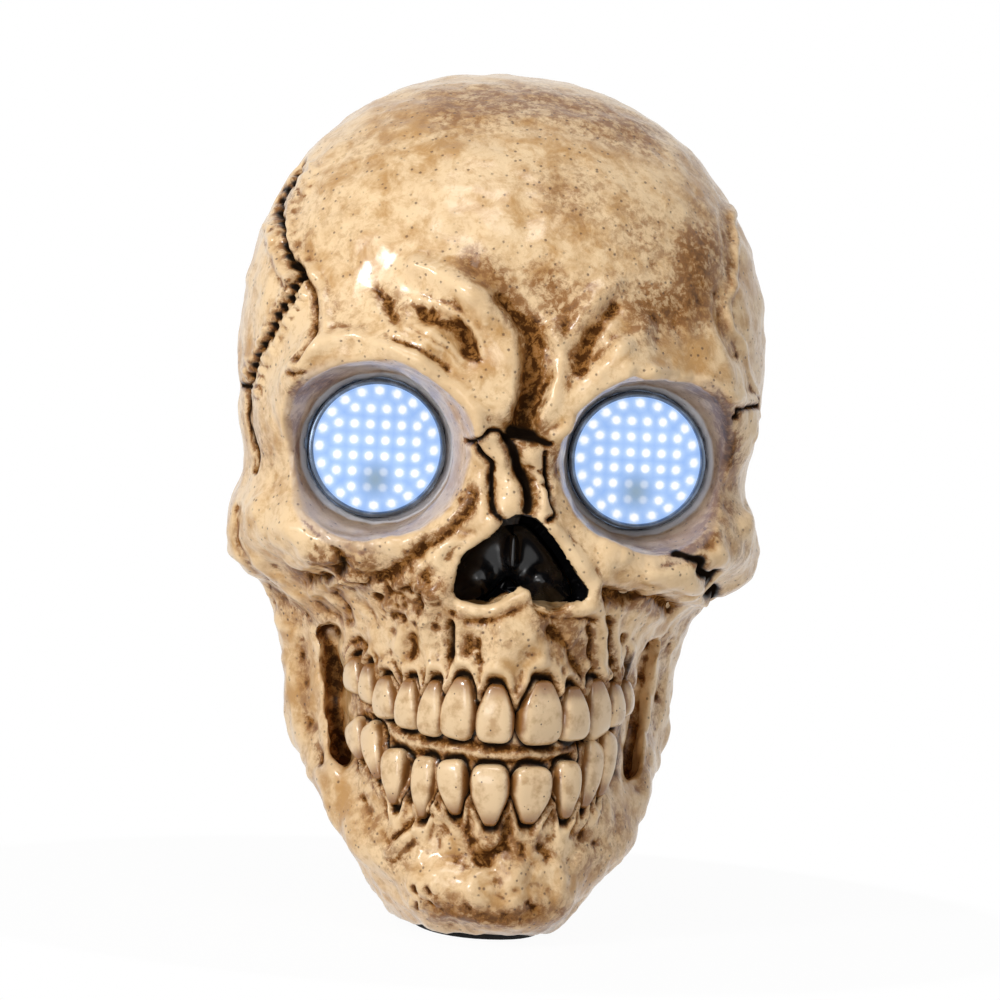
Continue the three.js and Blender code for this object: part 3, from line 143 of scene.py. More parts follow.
def remeshed_copy(node, name, voxel):
    """A copy of a solid with its corners merged, as an even net of small faces."""
    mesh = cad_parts[node].data.copy()
    mesh.materials.clear()
    piece = bpy.data.objects.new(name, mesh)
    bpy.context.scene.collection.objects.link(piece)
    only(piece)
    bpy.ops.object.mode_set(mode="EDIT")
    bpy.ops.mesh.select_all(action="SELECT")
    bpy.ops.mesh.remove_doubles(threshold=1e-6)
    bpy.ops.object.mode_set(mode="OBJECT")
    applied(piece, "REMESH", mode="VOXEL", voxel_size=voxel)
    return piece


def places(mesh):
    """The points of a mesh in millimetres."""
    values = np.empty(len(mesh.vertices) * 3)
    mesh.vertices.foreach_get("co", values)
    return values.reshape(-1, 3) / MM


def put(mesh, points):
    mesh.vertices.foreach_set("co", (points * MM).ravel())
    mesh.update()


def normals(mesh):
    values = np.empty(len(mesh.vertices) * 3)
    mesh.vertex_normals.foreach_get("vector", values)
    return values.reshape(-1, 3)


def edge_ends(mesh):
    values = np.empty(len(mesh.edges) * 2, dtype=np.int64)
    mesh.edges.foreach_get("vertices", values)
    return values.reshape(-1, 2)


def neighbours_mean(values, ends):
    """The mean of each point's neighbours along the edges."""
    count = np.maximum(np.bincount(ends.ravel(), minlength=len(values)), 1)
    columns = []
    for column in values.reshape(len(values), -1).T:
        total = np.bincount(ends[:, 0], weights=column[ends[:, 1]], minlength=len(values))
        total += np.bincount(ends[:, 1], weights=column[ends[:, 0]], minlength=len(values))
        columns.append(total / count)
    return np.stack(columns, axis=1).reshape(values.shape)


def relaxed(points, ends, share, rounds, regained=0.0):
    """Move each point towards its neighbours' mean, by its share, and some of the way back, in rounds."""
    for _ in range(rounds):
        points = points + share[:, None] * (neighbours_mean(points, ends) - points)
        if regained:
            points = points - regained * share[:, None] * (neighbours_mean(points, ends) - points)
    return points


def ramp(values, low, high):
    """0 at low, 1 at high, with a soft start and end."""
    t = np.clip((values - low) / (high - low), 0, 1)
    return t * t * (3 - 2 * t)


def grain(points, size, seed):
    """Smooth random lumps of a size, from -1 to 1."""
    cell = points / size + 17.31 * seed
    base = np.floor(cell).astype(np.int64)
    part = cell - base
    part = part * part * (3 - 2 * part)
    total = np.zeros(len(points))
    for corner in np.ndindex(2, 2, 2):
        spot = base + np.array(corner)
        mixed = (spot[:, 0] * 374761393 + spot[:, 1] * 668265263 + spot[:, 2] * 1274126177) & 0xFFFFFFFF
        mixed = ((mixed ^ (mixed >> 13)) * 1103515245) & 0xFFFFFFFF
        value = ((mixed ^ (mixed >> 16)) & 0xFFFF) / 32767.5 - 1
        weight = np.where(np.array(corner) == 1, part, 1 - part).prod(axis=1)
        total += value * weight
    return total


def from_eye(points, eye):
    """Distance from an eye's axis, seen from the front."""
    return np.hypot(points[:, 0] - eye.x, points[:, 2] - eye.z)


face = remeshed_copy("face_shell", "bone_face", FACE_VOXEL)
points = places(face.data)
ends = edge_ends(face.data)
held = ramp(points[:, 1], *(seam_y - d for d in SEAM_HOLD))
held *= ramp(points[:, 2], *(rim_z + d for d in SEAM_HOLD))
SOCKET_SHIFTS = ((left_eye, 1.5), (right_eye, -4.5))
SOCKET_DEPTHS = (-41, -57)


def socket_shift(points, shift):
    """How far a socket's mouth lies to the side of its eye, from nothing at the seat."""
    return shift * ramp(points[:, 1], *SOCKET_DEPTHS)


for eye, shift in SOCKET_SHIFTS:
    points[:, 0] += socket_shift(points, shift) * ramp(from_eye(points, eye), *SOCKET_BLEND)
near_eye = np.minimum(from_eye(points, left_eye), from_eye(points, right_eye))
near_socket = ramp(near_eye, *SOCKET_NEAR)
near_mouth = ramp(points[:, 1], *MOUTH_DEPTHS) * ramp(points[:, 2], *MOUTH_FLOOR)
near_mouth *= ramp(points[:, 2], *MOUTH_ROOF)
near_nose = ramp(np.hypot(points[:, 0] / 1.1, points[:, 2] - NOSE_HEIGHT), *NOSE_NEAR)
feature = np.maximum(near_socket, near_nose)
points = relaxed(points, ends, 0.5 * held * (1 - 0.8 * feature), SMOOTHING_ROUNDS, FORM_KEPT)
points = relaxed(points, ends, 0.5 * held * near_mouth, MOUTH_ROUNDS)
put(face.data, points)
applied(face, "SUBSURF", levels=1, render_levels=1)

points = places(face.data)
facing = normals(face.data)
spots = pixels_of(points * MM)
seen = np.clip((facing @ np.array(towards_camera) + 0.06) / 0.25, 0, 1)
SOCKET_MOUTH = (-66, -60)
WALL_BAND = (1.6, 0.4)
SEAT_RADII = (19.3, 18.6)
SEAT_FRONT = (-42.2, -41.2)
SEAT_BACK = (-37, -38.5)
SKIN_EDGE = (1, 6)
in_socket = np.zeros(len(points))
gasket = np.zeros(len(points))
for eye, shift in SOCKET_SHIFTS:
    unshifted = points - np.outer(socket_shift(points, shift), (1, 0, 0))
    beyond_wall = from_eye(unshifted, eye) - np.interp(points[:, 1], SOCKET_WALL_DEPTHS, SOCKET_WALL_RADII)
    in_socket = np.maximum(in_socket, ramp(beyond_wall, *WALL_BAND) * ramp(points[:, 1], *SOCKET_MOUTH))
    # Painted highlight: a pale ring on the flat seat round each bezel.
    at_seat = ramp(from_eye(points, eye), *SEAT_RADII) * ramp(points[:, 1], *SEAT_FRONT)
    gasket = np.maximum(gasket, at_seat * ramp(points[:, 1], *SEAT_BACK))
skin = seen * (1 - in_socket) * ramp(points[:, 1], *(seam_y - d for d in SKIN_EDGE))
lift = np.zeros(len(points))
stain = np.zeros(len(points))
dark = np.zeros(len(points))
wobble = np.stack([
    1.5 * grain(points, 2.6, 1) + 2.6 * grain(points, 7, 2),
    1.5 * grain(points, 2.6, 8) + 2.6 * grain(points, 7, 9),
], axis=1)
unevenness = 0.85 + 0.4 * grain(points, 5, 10)


def rounded(path, steps=6):
    """A smooth line of many short pieces through a few points."""
    given = np.array(path, float)
    if len(given) < 3:
        return given
    padded = np.vstack([2 * given[0] - given[1], given, 2 * given[-1] - given[-2]])
    line = []
    for i in range(1, len(padded) - 2):
        before, start, stop, after = padded[i - 1:i + 3]
        for t in np.linspace(0, 1, steps, endpoint=False):
            line.append(0.5 * (
                2 * start + (stop - before) * t + (2 * before - 5 * start + 4 * stop - after) * t ** 2
                + (3 * start - before - 3 * stop + after) * t ** 3
            ))
    line.append(given[-1])
    return np.array(line)


def tree_of(piece):
    """A piece's surface, for finding where lines meet it."""
    mesh = piece.data
    return BVHTree.FromPolygons(
        [v.co.copy() for v in mesh.vertices], [tuple(p.vertices) for p in mesh.polygons],
    )


uncarved = tree_of(face)


def line_distance(line, where):
    """Distance of image places from a line of straight pieces."""
    least = np.full(len(where), np.inf)
    for start, stop in zip(line[:-1], line[1:]):
        run = stop - start
        along = np.clip(((where - start) @ run) / max(run @ run, 1e-9), 0, 1)
        least = np.minimum(least, np.linalg.norm(where - start - along[:, None] * run, axis=1))
    return least


def distance_to(path, reach):
    """Which points show within reach of a line, and how far they lie from it, in pixels and in depth."""
    line = rounded(path)
    hits = [uncarved.ray_cast(camera_place, sight_line(pixel))[0] for pixel in line]
    met = [np.array(hit) / MM for hit in hits if hit]
    low, high = line.min(axis=0) - reach, line.max(axis=0) + reach
    chosen = np.flatnonzero(((spots > low) & (spots < high)).all(axis=1) & (seen > 0))
    gap = np.full(len(chosen), np.inf)
    for place in met:
        gap = np.minimum(gap, np.linalg.norm(points[chosen] - place, axis=1))
    return chosen, line_distance(line, spots[chosen] + wobble[chosen]), gap


STAIN_SPREAD = 1.7
DEPTH_REACH = 1.8


def carve(path, width, rise, brown=0.0, black=0.0):
    """Raise or press the bone along a line in the image, and darken it brown or black there, for wash and
    painted shade.
    """
    reach = 3 * STAIN_SPREAD * width
    chosen, distance, gap = distance_to(path, reach)
    span = reach * PIXEL_SIZE / MM
    near = ramp(gap, 0.5 * span + 1.2, 0.25 * span + 0.7)
    close = np.exp(-(distance / width) ** 2) * skin[chosen] * near
    wide = np.exp(-(distance / width / STAIN_SPREAD) ** 2) * skin[chosen] * near
    lift[chosen] += rise * close * unevenness[chosen]
    stain[chosen] = np.maximum(stain[chosen], brown * wide)
    dark[chosen] = np.maximum(dark[chosen], black * close)


def paint(path, width, brown, black=0.0):
    """Darken the surface brown or black along a line, also inside the sockets: stains, and painted shade."""
    chosen, distance, gap = distance_to(path, 3 * width)
    distance = np.maximum(distance, gap / DEPTH_REACH / (PIXEL_SIZE / MM))
    strength = np.exp(-(distance / width) ** 2) * seen[chosen]
    stain[chosen] = np.maximum(stain[chosen], brown * strength)
    dark[chosen] = np.maximum(dark[chosen], black * strength)


# Each carved line: its pixels, its half width in pixels, its rise in millimetres, its brown and black
# darkening: wash in the folds and cracks, and painted shadow in the grooves under the cheekbones.
BROW = (
    (((418, 267), (448, 280), (471, 296), (494, 313), (510, 337), (513, 368), (510, 391),
      (502, 410)), 13, 2.6),
    (((470, 262), (486, 280), (503, 300)), 10, -0.7, 0.45),
    (((503, 300), (518, 316), (531, 330), (536, 355), (532, 391), (523, 423)), 11, -2.4, 0.85, 0.1),
    (((530, 395), (524, 425)), 7, -0.8, 0.95, 0.55),
    (((546, 351), (543, 373), (536, 391)), 3.5, 0.8),
    (((424, 312), (445, 322), (462, 333), (474, 350)), 10, -1.8, 0.3),
    (((464, 334), (470, 342)), 5, -1.6, 0.95, 0.35),
    (((418, 300), (440, 306), (462, 317), (478, 334), (484, 354)), 4, 0.9),
    (((418, 326), (440, 340), (462, 360)), 4, 0.6),
    (((380, 292), (386, 302), (394, 312)), 8, -1.0, 0.5),
    (((395, 338), (420, 350), (448, 368)), 3, -0.6, 0.3),
    (((405, 328), (440, 350), (462, 370)), 3, 0.4),
    (((372, 300), (392, 330), (420, 345)), 5, 0.6),
    (((579, 366), (586, 341), (600, 323), (614, 310)), 8, -2.0, 0.6, 0.1),
    (((596, 352), (612, 336)), 8, -0.8, 0.35),
    (((568, 344), (580, 319), (596, 298), (614, 284)), 9, 1.8),
    (((600, 371), (625, 348), (645, 330)), 9, 1.8),
    (((554, 330), (562, 351), (559, 373), (554, 400), (540, 424)), 8, 2.2),
)
SOCKET_RIMS = (
    (((295, 366), (318, 350), (341, 338), (372, 342), (410, 357), (433, 371), (456, 387), (476, 412),
      (482, 436)), 7, 1.4),
    (((302, 460), (318, 498), (345, 527), (380, 542), (420, 540), (455, 518), (482, 480)), 8, 1.0),
    (((296, 380), (288, 410), (286, 445), (296, 480)), 8, 1.0),
    (((554, 437), (575, 426), (593, 409), (614, 391), (636, 380), (661, 374), (690, 378), (723, 389),
      (750, 402)), 7, 1.4),
    (((566, 470), (580, 505), (606, 543), (640, 562), (680, 566), (715, 554)), 8, 1.0),
    (((752, 415), (760, 450), (755, 495), (742, 530)), 7, 1.2),
)
NASAL_BONES = (
    (((497, 442), (501, 456)), 9, 1.2),
    (((504, 466), (508, 484)), 9, 0.9),
    (((509, 494), (509, 504)), 12, 1.8),
    (((533, 450), (537, 470), (541, 490)), 8, 1.1),
    (((543, 502), (543, 508)), 8, 1.8),
    (((527, 466), (543, 474)), 2.4, -0.8, 0.6),
    (((529, 478), (546, 486)), 2.4, -0.8, 0.6),
    (((465, 440), (481, 438), (491, 431), (500, 432), (507, 437), (520, 434), (536, 438),
      (549, 445)), 2.8, -1.7, 0.9, 0.95),
    (((474, 444), (482, 454), (490, 464), (491, 478), (491, 497), (494, 510),
      (503, 519)), 3.2, -2.0, 0.9, 1.1),
    (((507, 438), (513, 451), (516, 466), (523, 477), (528, 489), (529, 510)), 5.6, -3.0, 1.0, 1.2),
    (((546, 452), (545, 468), (549, 488), (553, 506), (556, 515), (548, 521)), 2.4, -1.6, 0.9, 0.95),
    (((556, 456), (560, 470)), 8, -1.0, 0.6, 0.3),
    (((512, 430), (532, 436)), 8, -1.2, 0.95, 1.0),
    (((462, 498), (472, 488)), 5, -0.8, 0.6),
)
NOSE_RIM = (
    (((503, 512), (486, 532), (464, 554), (448, 578), (448, 596), (468, 609), (499, 608), (516, 601),
      (528, 588)), 7, 1.4),
    (((545, 522), (568, 546), (584, 570), (598, 594), (594, 608), (572, 611), (550, 604), (538, 596),
      (528, 588)), 7, 1.4),
    (((440, 604), (466, 620), (500, 618), (528, 604), (556, 618), (592, 620)), 5, -0.8, 0.45),
)
LEFT_CHEEK = (
    (((238, 508), (235, 536), (241, 553), (256, 570), (290, 599)), 4, -0.9, 0.35),
    (((268, 530), (300, 548)), 26, 1.6),
    # The hollow under the cheekbone is browned as painted shadow.
    (((262, 592), (300, 612), (330, 622)), 12, -1.6, 0.4),
    (((256, 564), (290, 590), (312, 596)), 6, 0.9),
    (((341, 562), (341, 572)), 7, -2.6, 0.95, 0.75),
    (((334, 538), (337, 552)), 5, -2.0, 0.95, 0.45),
    (((312, 578), (326, 576)), 5, -1.8, 0.95, 0.6),
    (((300, 572), (330, 566)), 12, -0.6, 0.8),
    (((316, 588), (318, 591)), 7, 1.8),
    (((331, 560), (334, 562)), 5, 1.2, 0.5),
    (((331, 584), (342, 578), (363, 579)), 4, 1.6),
    (((336, 594), (345, 606), (348, 620)), 5, -1.2, 0.7),
    (((360, 550), (374, 556)), 13, 1.5),
    (((396, 544), (408, 546)), 12, 1.1),
    (((379, 578), (399, 568), (411, 556), (432, 541), (452, 528), (469, 508),
      (474, 495)), 5.5, -1.8, 0.95, 0.3),
    (((392, 586), (412, 574), (436, 557), (458, 541)), 5, 0.9),
    (((388, 590), (390, 592)), 4, -1.4, 0.8),
    (((399, 600), (401, 602)), 4, 1.3),
    (((408, 588), (411, 590)), 4, -1.5, 0.85, 0.2),
    (((420, 600), (422, 604)), 4, -1.4, 0.8),
    (((416, 586), (420, 584)), 4, 1.2),
    (((426, 576), (428, 580)), 4, -1.2, 0.7),
    (((384, 606), (390, 610)), 5, 1.2),
    (((374, 598), (380, 600)), 4, -1.2, 0.7),
    (((410, 612), (414, 616)), 5, 1.1),
    (((396, 616), (402, 618)), 4, -1.0, 0.6),
    (((438, 566), (434, 590), (428, 616)), 8, 1.3),
)
RIGHT_CHEEK = (
    (((609, 566), (650, 572), (690, 584), (704, 598)), 12, 3.0),
    # The groove under the cheekbone is browned nearly black as painted shadow.
    (((606, 592), (640, 602), (674, 610)), 8, -2.6, 0.85),
    (((627, 601), (632, 603)), 6, -2.2, 0.95, 0.6),
    (((672, 551), (687, 559), (701, 563), (699, 571), (711, 575), (715, 573), (703, 588), (717, 590),
      (711, 600), (707, 604)), 4.6, -2.4, 0.95, 1.4),
    (((735, 530), (738, 556)), 22, 1.3),
    (((714, 423), (734, 419), (738, 410), (754, 407), (755, 400)), 2.8, -1.2, 0.9, 0.8),
    (((290, 373), (302, 375), (314, 381)), 2.8, -1.0, 0.8, 0.5),
)
UPPER_JAW = (
    (((449, 628), (450, 642), (451, 657)), 4.5, -2.4, 0.95, 0.8),
    (((469, 640), (470, 650)), 7, -1.2, 0.6),
    (((484, 624), (488, 634)), 8, -0.8, 0.4),
    (((548, 616), (556, 628)), 12, -1.6, 0.8),
    (((556, 634), (570, 652), (582, 674)), 5, -1.3, 0.7),
    (((600, 612), (603, 640), (606, 672)), 5, 1.3),
    (((616, 620), (620, 645), (619, 676)), 4.5, 1.2),
    (((629, 645), (630, 660), (628, 674)), 3.5, 0.9),
    (((610, 618), (612, 645), (613, 672)), 3, -1.4, 0.85),
    (((625, 638), (625, 672)), 2.5, -1.2, 0.8),
    (((590, 628), (592, 650), (594, 670)), 3.5, -1.0, 0.7),
    (((399, 622), (400, 645), (402, 664)), 6, 1.1),
    (((412, 640), (413, 654)), 6, -1.1, 0.45),
    (((426, 622), (428, 645), (432, 664)), 6, 1.1),
    (((460, 618), (459, 640), (462, 662)), 6, 1.1),
    (((500, 620), (498, 645), (497, 668)), 9, 1.1),
    (((478, 640), (480, 662)), 4, -0.9, 0.5),
    (((538, 640), (540, 664)), 10, 0.9),
    (((372, 632), (376, 650)), 6, 0.9),
    (((356, 640), (362, 650)), 5, -1.2, 0.6),
    (((290, 599), (318, 620), (338, 642), (350, 668)), 7, 1.0),
)
LEFT_SUTURE = ((302, 157), (290, 181), (282, 191), (276, 209), (280, 225), (283, 244), (290, 254),
    (301, 273))
LEFT_FORK = ((301, 273), (293, 281), (288, 295), (276, 317), (265, 342), (255, 356), (251, 368),
    (246, 389))
LEFT_TEMPLE = (
    (((304, 270), (309, 284), (315, 300), (314, 325), (308, 345), (295, 360)), 3, -1.4, 0.85, 0.5),
    (((314, 270), (320, 286), (326, 302), (325, 326), (318, 346), (304, 362)), 5, 0.9),
    (LEFT_SUTURE, 2.4, -1.0, 0.95, 0.6),
    (LEFT_FORK, 2.2, -0.9, 0.95, 0.5),
    (((246, 389), (248, 399), (249, 416), (251, 430), (254, 444), (257, 456),
      (255, 471)), 2.4, -1.3, 0.85, 0.7),
    (((234, 366), (237, 378), (246, 389)), 2.4, -1.3, 0.85, 0.8),
)
RIGHT_TEMPLE = (
    (((722, 150), (730, 190), (733, 230), (736, 266), (727, 298), (730, 323), (745, 355), (755, 391),
      (757, 417)), 3, 1.0),
    (((714, 150), (722, 190), (725, 230), (727, 266), (718, 298), (720, 323), (735, 355)), 6, -0.7, 0.45),
)
JAW_SIDES = (
    (((300, 640), (306, 700), (318, 760)), 5, -0.7, 0.4),
    (((284, 630), (290, 690), (302, 740)), 5, 0.7),
    (((356, 790), (372, 820), (392, 850)), 6, -0.6, 0.4),
    (((668, 640), (655, 720), (640, 790)), 5, -0.7, 0.4),
    (((654, 640), (644, 720), (632, 780)), 4, 0.7),
)
CHIN = (
    (((391, 853), (409, 840), (421, 830)), 5, 1.3),
    (((396, 838), (410, 826), (430, 816)), 4, -1.2, 0.55),
    (((486, 834), (489, 842)), 9, 1.6),
    (((504, 820), (504, 832)), 6, -1.8, 0.95, 0.5),
    (((508, 832), (498, 850), (478, 856)), 7, -1.2, 0.8),
    (((438, 806), (446, 816)), 9, 1.3),
    (((462, 828), (470, 842)), 7, -1.0, 0.6),
    (((405, 878), (425, 882)), 14, 1.2),
    (((450, 880), (470, 886)), 14, 1.1),
    (((506, 862), (518, 868)), 14, 1.3),
    (((552, 862), (570, 868)), 14, 0.9),
    (((536, 842), (548, 852)), 8, -1.0, 0.55),
    (((580, 832), (592, 842)), 9, -0.9, 0.5),
    (((412, 884), (414, 906)), 3, 0.8),
    (((423, 884), (425, 908)), 3, 0.8),
    (((434, 884), (436, 906)), 3, 0.8),
    (((418, 886), (420, 908)), 2.6, -0.7, 0.55),
    (((429, 886), (431, 908)), 2.6, -0.7, 0.55),
    (((440, 912), (490, 920), (540, 912)), 8, -0.7, 0.85),
    (((466, 906), (470, 908)), 5, -0.8, 0.7),
    (((530, 904), (536, 908)), 5, -0.8, 0.7),
)
for group in (
    BROW, SOCKET_RIMS, NASAL_BONES, NOSE_RIM, LEFT_CHEEK, RIGHT_CHEEK, UPPER_JAW, LEFT_TEMPLE, RIGHT_TEMPLE,
    JAW_SIDES, CHIN,
):
    for line in group:
        carve(*line)
# The left suture is a chain of pits between curled edges, every few pixels along its cracks.
PIT_STEP = 11
PIT_RUN = np.array((2, 2))
CURL_RUN = np.array((1, 2))
CURL_OFFSET = 2.6


def pits_along(path, width, deep, curl):
    """Black pits at even steps along a crack, with a curled edge raised on both sides of each."""
    line = rounded(path, 24)
    run = np.concatenate([[0], np.cumsum(np.linalg.norm(np.diff(line, axis=0), axis=1))])
    for mark in np.arange(PIT_STEP / 2, run[-1], PIT_STEP):
        pit = np.array([np.interp(mark, run, line[:, i]) for i in (0, 1)])
        carve((pit, pit + PIT_RUN), width, deep, 0.95, 1.3)
        for side in (-1, 1):
            edge = pit + np.array((side * CURL_OFFSET * width, 0.5 * PIT_STEP))
            carve((edge, edge + CURL_RUN), width, curl)


pits_along(LEFT_SUTURE, 4.6, -2.0, 1.2)
pits_along(LEFT_FORK, 3.4, -1.7, 0.9)
# Stains that follow no fold: a path, a half width in pixels and how brown.
STAINS = (
    (((560, 190), (650, 240)), 42, 0.4), (((330, 200), (350, 250)), 36, 0.2),
    (((400, 120), (360, 150)), 30, 0.25), (((450, 105), (540, 100), (640, 130)), 36, 0.6),
    (((690, 160), (705, 210)), 26, 0.4), (((700, 250), (690, 300), (650, 310)), 34, 0.8),
    (((640, 300), (560, 300)), 30, 0.5), (((545, 280), (565, 320)), 26, 0.6),
    (((470, 262), (500, 285)), 18, 0.75), (((520, 420), (528, 428)), 22, 0.9),
    (((335, 565), (360, 570)), 26, 0.75), (((395, 590), (425, 590)), 26, 0.75),
    (((555, 620), (575, 650)), 22, 0.75), (((440, 625), (500, 640)), 24, 0.35),
    (((480, 848), (510, 850)), 24, 0.6), (((440, 912), (560, 915)), 22, 0.6),
    (((250, 400), (262, 450)), 22, 0.4), (((690, 620), (680, 700)), 24, 0.4),
    (((370, 820), (400, 860)), 22, 0.4), (((620, 820), (590, 860)), 26, 0.45),
    (((290, 200), (300, 250)), 22, 0.4), (((725, 520), (735, 560)), 20, 0.4),
    (((330, 300), (350, 330)), 22, 0.25), (((380, 290), (400, 310)), 16, 0.45),
    (((526, 330), (526, 400)), 16, 0.6), (((310, 760), (330, 800)), 22, 0.2),
    (((262, 620), (275, 700)), 16, 0.1),
)
for stained in STAINS:
    paint(*stained)
# Painted shade: inside the sockets and the side slots the surface is darkened nearly black. The black of
# the right cheek's crack is painted along with them.
SHADED_HOLLOWS = (
    (((300, 392), (316, 384), (330, 380)), 12, 0.95, 0.35), (((298, 420), (300, 450)), 10, 0.6, 0.1),
    (((700, 392), (718, 404), (728, 430), (730, 462)), 13, 0.95, 0.45),
    (((735, 480), (728, 510)), 10, 0.6, 0.1), (((640, 548), (680, 552), (712, 536)), 8, 0.75),
    (((722, 470), (716, 505), (700, 530)), 8, 0.6),
    (((672, 551), (687, 559), (701, 563), (699, 571), (711, 575), (703, 588), (717, 590),
      (707, 604)), 4, 0.9, 1.3),
    (((334, 650), (336, 700), (340, 752)), 7, 0.95, 0.6),
    (((629, 660), (624, 700), (616, 770)), 8, 0.95, 0.6),
)
for hollow in SHADED_HOLLOWS:
    paint(*hollow)

# Teeth: pixels at the root and at the bite, and the width in pixels. Each sits in a scalloped gum.
UPPER_TEETH = (
    ((357, 656), (360, 693), 16), ((371, 663), (374, 703), 14), ((387, 675), (391, 719), 20),
    ((412, 678), (410, 729), 22), ((437, 680), (431, 736), 23), ((464, 677), (457, 739), 32),
    ((497, 684), (494, 743), 36), ((542, 680), (537, 745), 40), ((571, 686), (571, 741), 26),
    ((594, 679), (594, 737), 22), ((612, 681), (609, 727), 14), ((623, 679), (619, 717), 10),
)
LOWER_TEETH = (
    ((364, 760), (359, 719), 14), ((381, 779), (374, 723), 17), ((396, 805), (397, 748), 23),
    ((423, 819), (428, 756), 22), ((456, 815), (452, 759), 27), ((490, 826), (490, 764), 37),
    ((527, 824), (533, 766), 37), ((563, 819), (566, 760), 23), ((581, 808), (592, 741), 16),
    ((597, 797), (605, 731), 12),
)
GROOVE_REACH, GROOVE_WIDTH, GROOVE_DEPTH = 1.08, 0.2, 0.7
GUM_REACH, GUM_WIDTH, GUM_RISE = 1.5, 0.22, 1.0
UPPER_ROOT_SHARE = 0.6
LOWER_ROOT_SHARE = 0.5
UPPER_BAND = (
    (352, 676), (372, 690), (400, 704), (440, 710), (496, 716),
    (540, 715), (580, 708), (612, 700), (626, 692),
)
LOWER_BAND = (
    (358, 738), (378, 752), (400, 776), (440, 786), (490, 794),
    (532, 794), (566, 788), (590, 776), (606, 760),
)
MOUTH_BAR = (
    (370, 713), (389, 721), (419, 737), (449, 747), (478, 755), (508, 759),
    (538, 755), (567, 747), (590, 735), (612, 722),
)
carve(UPPER_BAND, 19, -1.3, 0.75, 0.1)
carve(LOWER_BAND, 19, -1.3, 0.75, 0.1)
carve(MOUTH_BAR, 6, 1.0)
UPPER_BITE = (
    (362, 698), (392, 722), (412, 733), (432, 741), (458, 744),
    (495, 748), (538, 750), (572, 746), (610, 731),
)
LOWER_GAP = ((405, 760), (408, 780), (410, 800))
LOWER_BITE = (
    (362, 712), (374, 722), (397, 746), (428, 754), (452, 757),
    (490, 761), (533, 763), (566, 757), (592, 739),
)
# Painted shadow: dark lines just under the upper teeth and just above the lower ones, where the bar lies in
# their shade, and in the deep gap between two lower teeth.
carve(UPPER_BITE, 4, -1.3, 0.9, 0.25)
carve(LOWER_BITE, 4, -0.9, 0.8, 0.15)
carve(LOWER_GAP, 5, -1.6, 0.95, 0.6)


def breadth(t, root_share):
    """How wide a tooth is from its root, at -1, to its bite, at 1, as a share of its full width."""
    return root_share + (1 - root_share) * ramp(t, -1.0, 0.25)


def seat_tooth(root, bite, width, root_share):
    """Press a brown groove round a tooth and raise the gum round its root."""
    root, bite = np.array(root, float), np.array(bite, float)
    middle, axis = (root + bite) / 2, (bite - root) / 2
    half = np.linalg.norm(axis)
    chosen = np.flatnonzero((np.abs(spots - middle) < 2.2 * half).all(axis=1) & (skin > 0))
    away = spots[chosen] + 0.4 * wobble[chosen] - middle
    t = away @ axis / half ** 2
    s = (away @ np.array([axis[1], -axis[0]])) / half / (width / 2 * breadth(t, root_share))
    reach = (np.abs(s) ** 3 + np.abs(t) ** 3) ** (1 / 3)
    groove = np.exp(-((reach - GROOVE_REACH) / GROOVE_WIDTH) ** 2) * skin[chosen]
    gum = np.exp(-((reach - GUM_REACH) / GUM_WIDTH) ** 2) * skin[chosen] * ramp(t, 0.3, -0.3)
    lift[chosen] += gum * GUM_RISE - groove * GROOVE_DEPTH
    stain[chosen] = np.maximum(stain[chosen], 0.95 * groove)
    dark[chosen] = np.maximum(dark[chosen], 0.8 * groove)


for teeth, root_share in ((UPPER_TEETH, UPPER_ROOT_SHARE), (LOWER_TEETH, LOWER_ROOT_SHARE)):
    for tooth in teeth:
        seat_tooth(*tooth, root_share)

# The nose opening has a crisp edge, and what lies inside it is pressed back and painted black.
NOSE_EDGE = np.array([
    (505, 520), (522, 513), (537, 518), (543, 524), (560, 547), (571, 565), (583, 582), (589, 593),
    (583, 602),
    (568, 602), (552, 596), (540, 588), (530, 581), (522, 584), (513, 591), (494, 598), (476, 601),
    (461, 595),
    (454, 585), (458, 573), (470, 558), (488, 542), (500, 527),
], float)


def inside(polygon, where):
    """Which image places lie inside a closed outline."""
    crossed = np.zeros(len(where), dtype=bool)
    for (x0, y0), (x1, y1) in zip(polygon, np.roll(polygon, -1, axis=0)):
        spans = (y0 > where[:, 1]) != (y1 > where[:, 1])
        reach = x0 + (where[:, 1] - y0) / (y1 - y0 if y1 != y0 else 1e-9) * (x1 - x0)
        crossed ^= spans & (where[:, 0] < reach)
    return crossed


NOSE_LIP = 7
NOSE_REACH = 90
NOSE_BACK_MARGIN = 4
nose_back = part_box("nose_insert")[1].y / MM
near = np.flatnonzero((np.abs(spots - NOSE_EDGE.mean(axis=0)) < NOSE_REACH).all(axis=1) & (in_socket < 0.1))
shown = spots[near] + 0.35 * wobble[near]
within = inside(NOSE_EDGE, shown)
depth_in = np.where(within, line_distance(np.vstack([NOSE_EDGE, NOSE_EDGE[:1]]), shown), 0)
nose_paint = np.zeros(len(points))
in_opening = within & (points[near, 1] < nose_back + NOSE_BACK_MARGIN)
nose_paint[near] = in_opening
lift[near] = np.where(within & (seen[near] > 0), -0.4 - 3.0 * np.clip(depth_in / NOSE_LIP, 0, 1), lift[near])

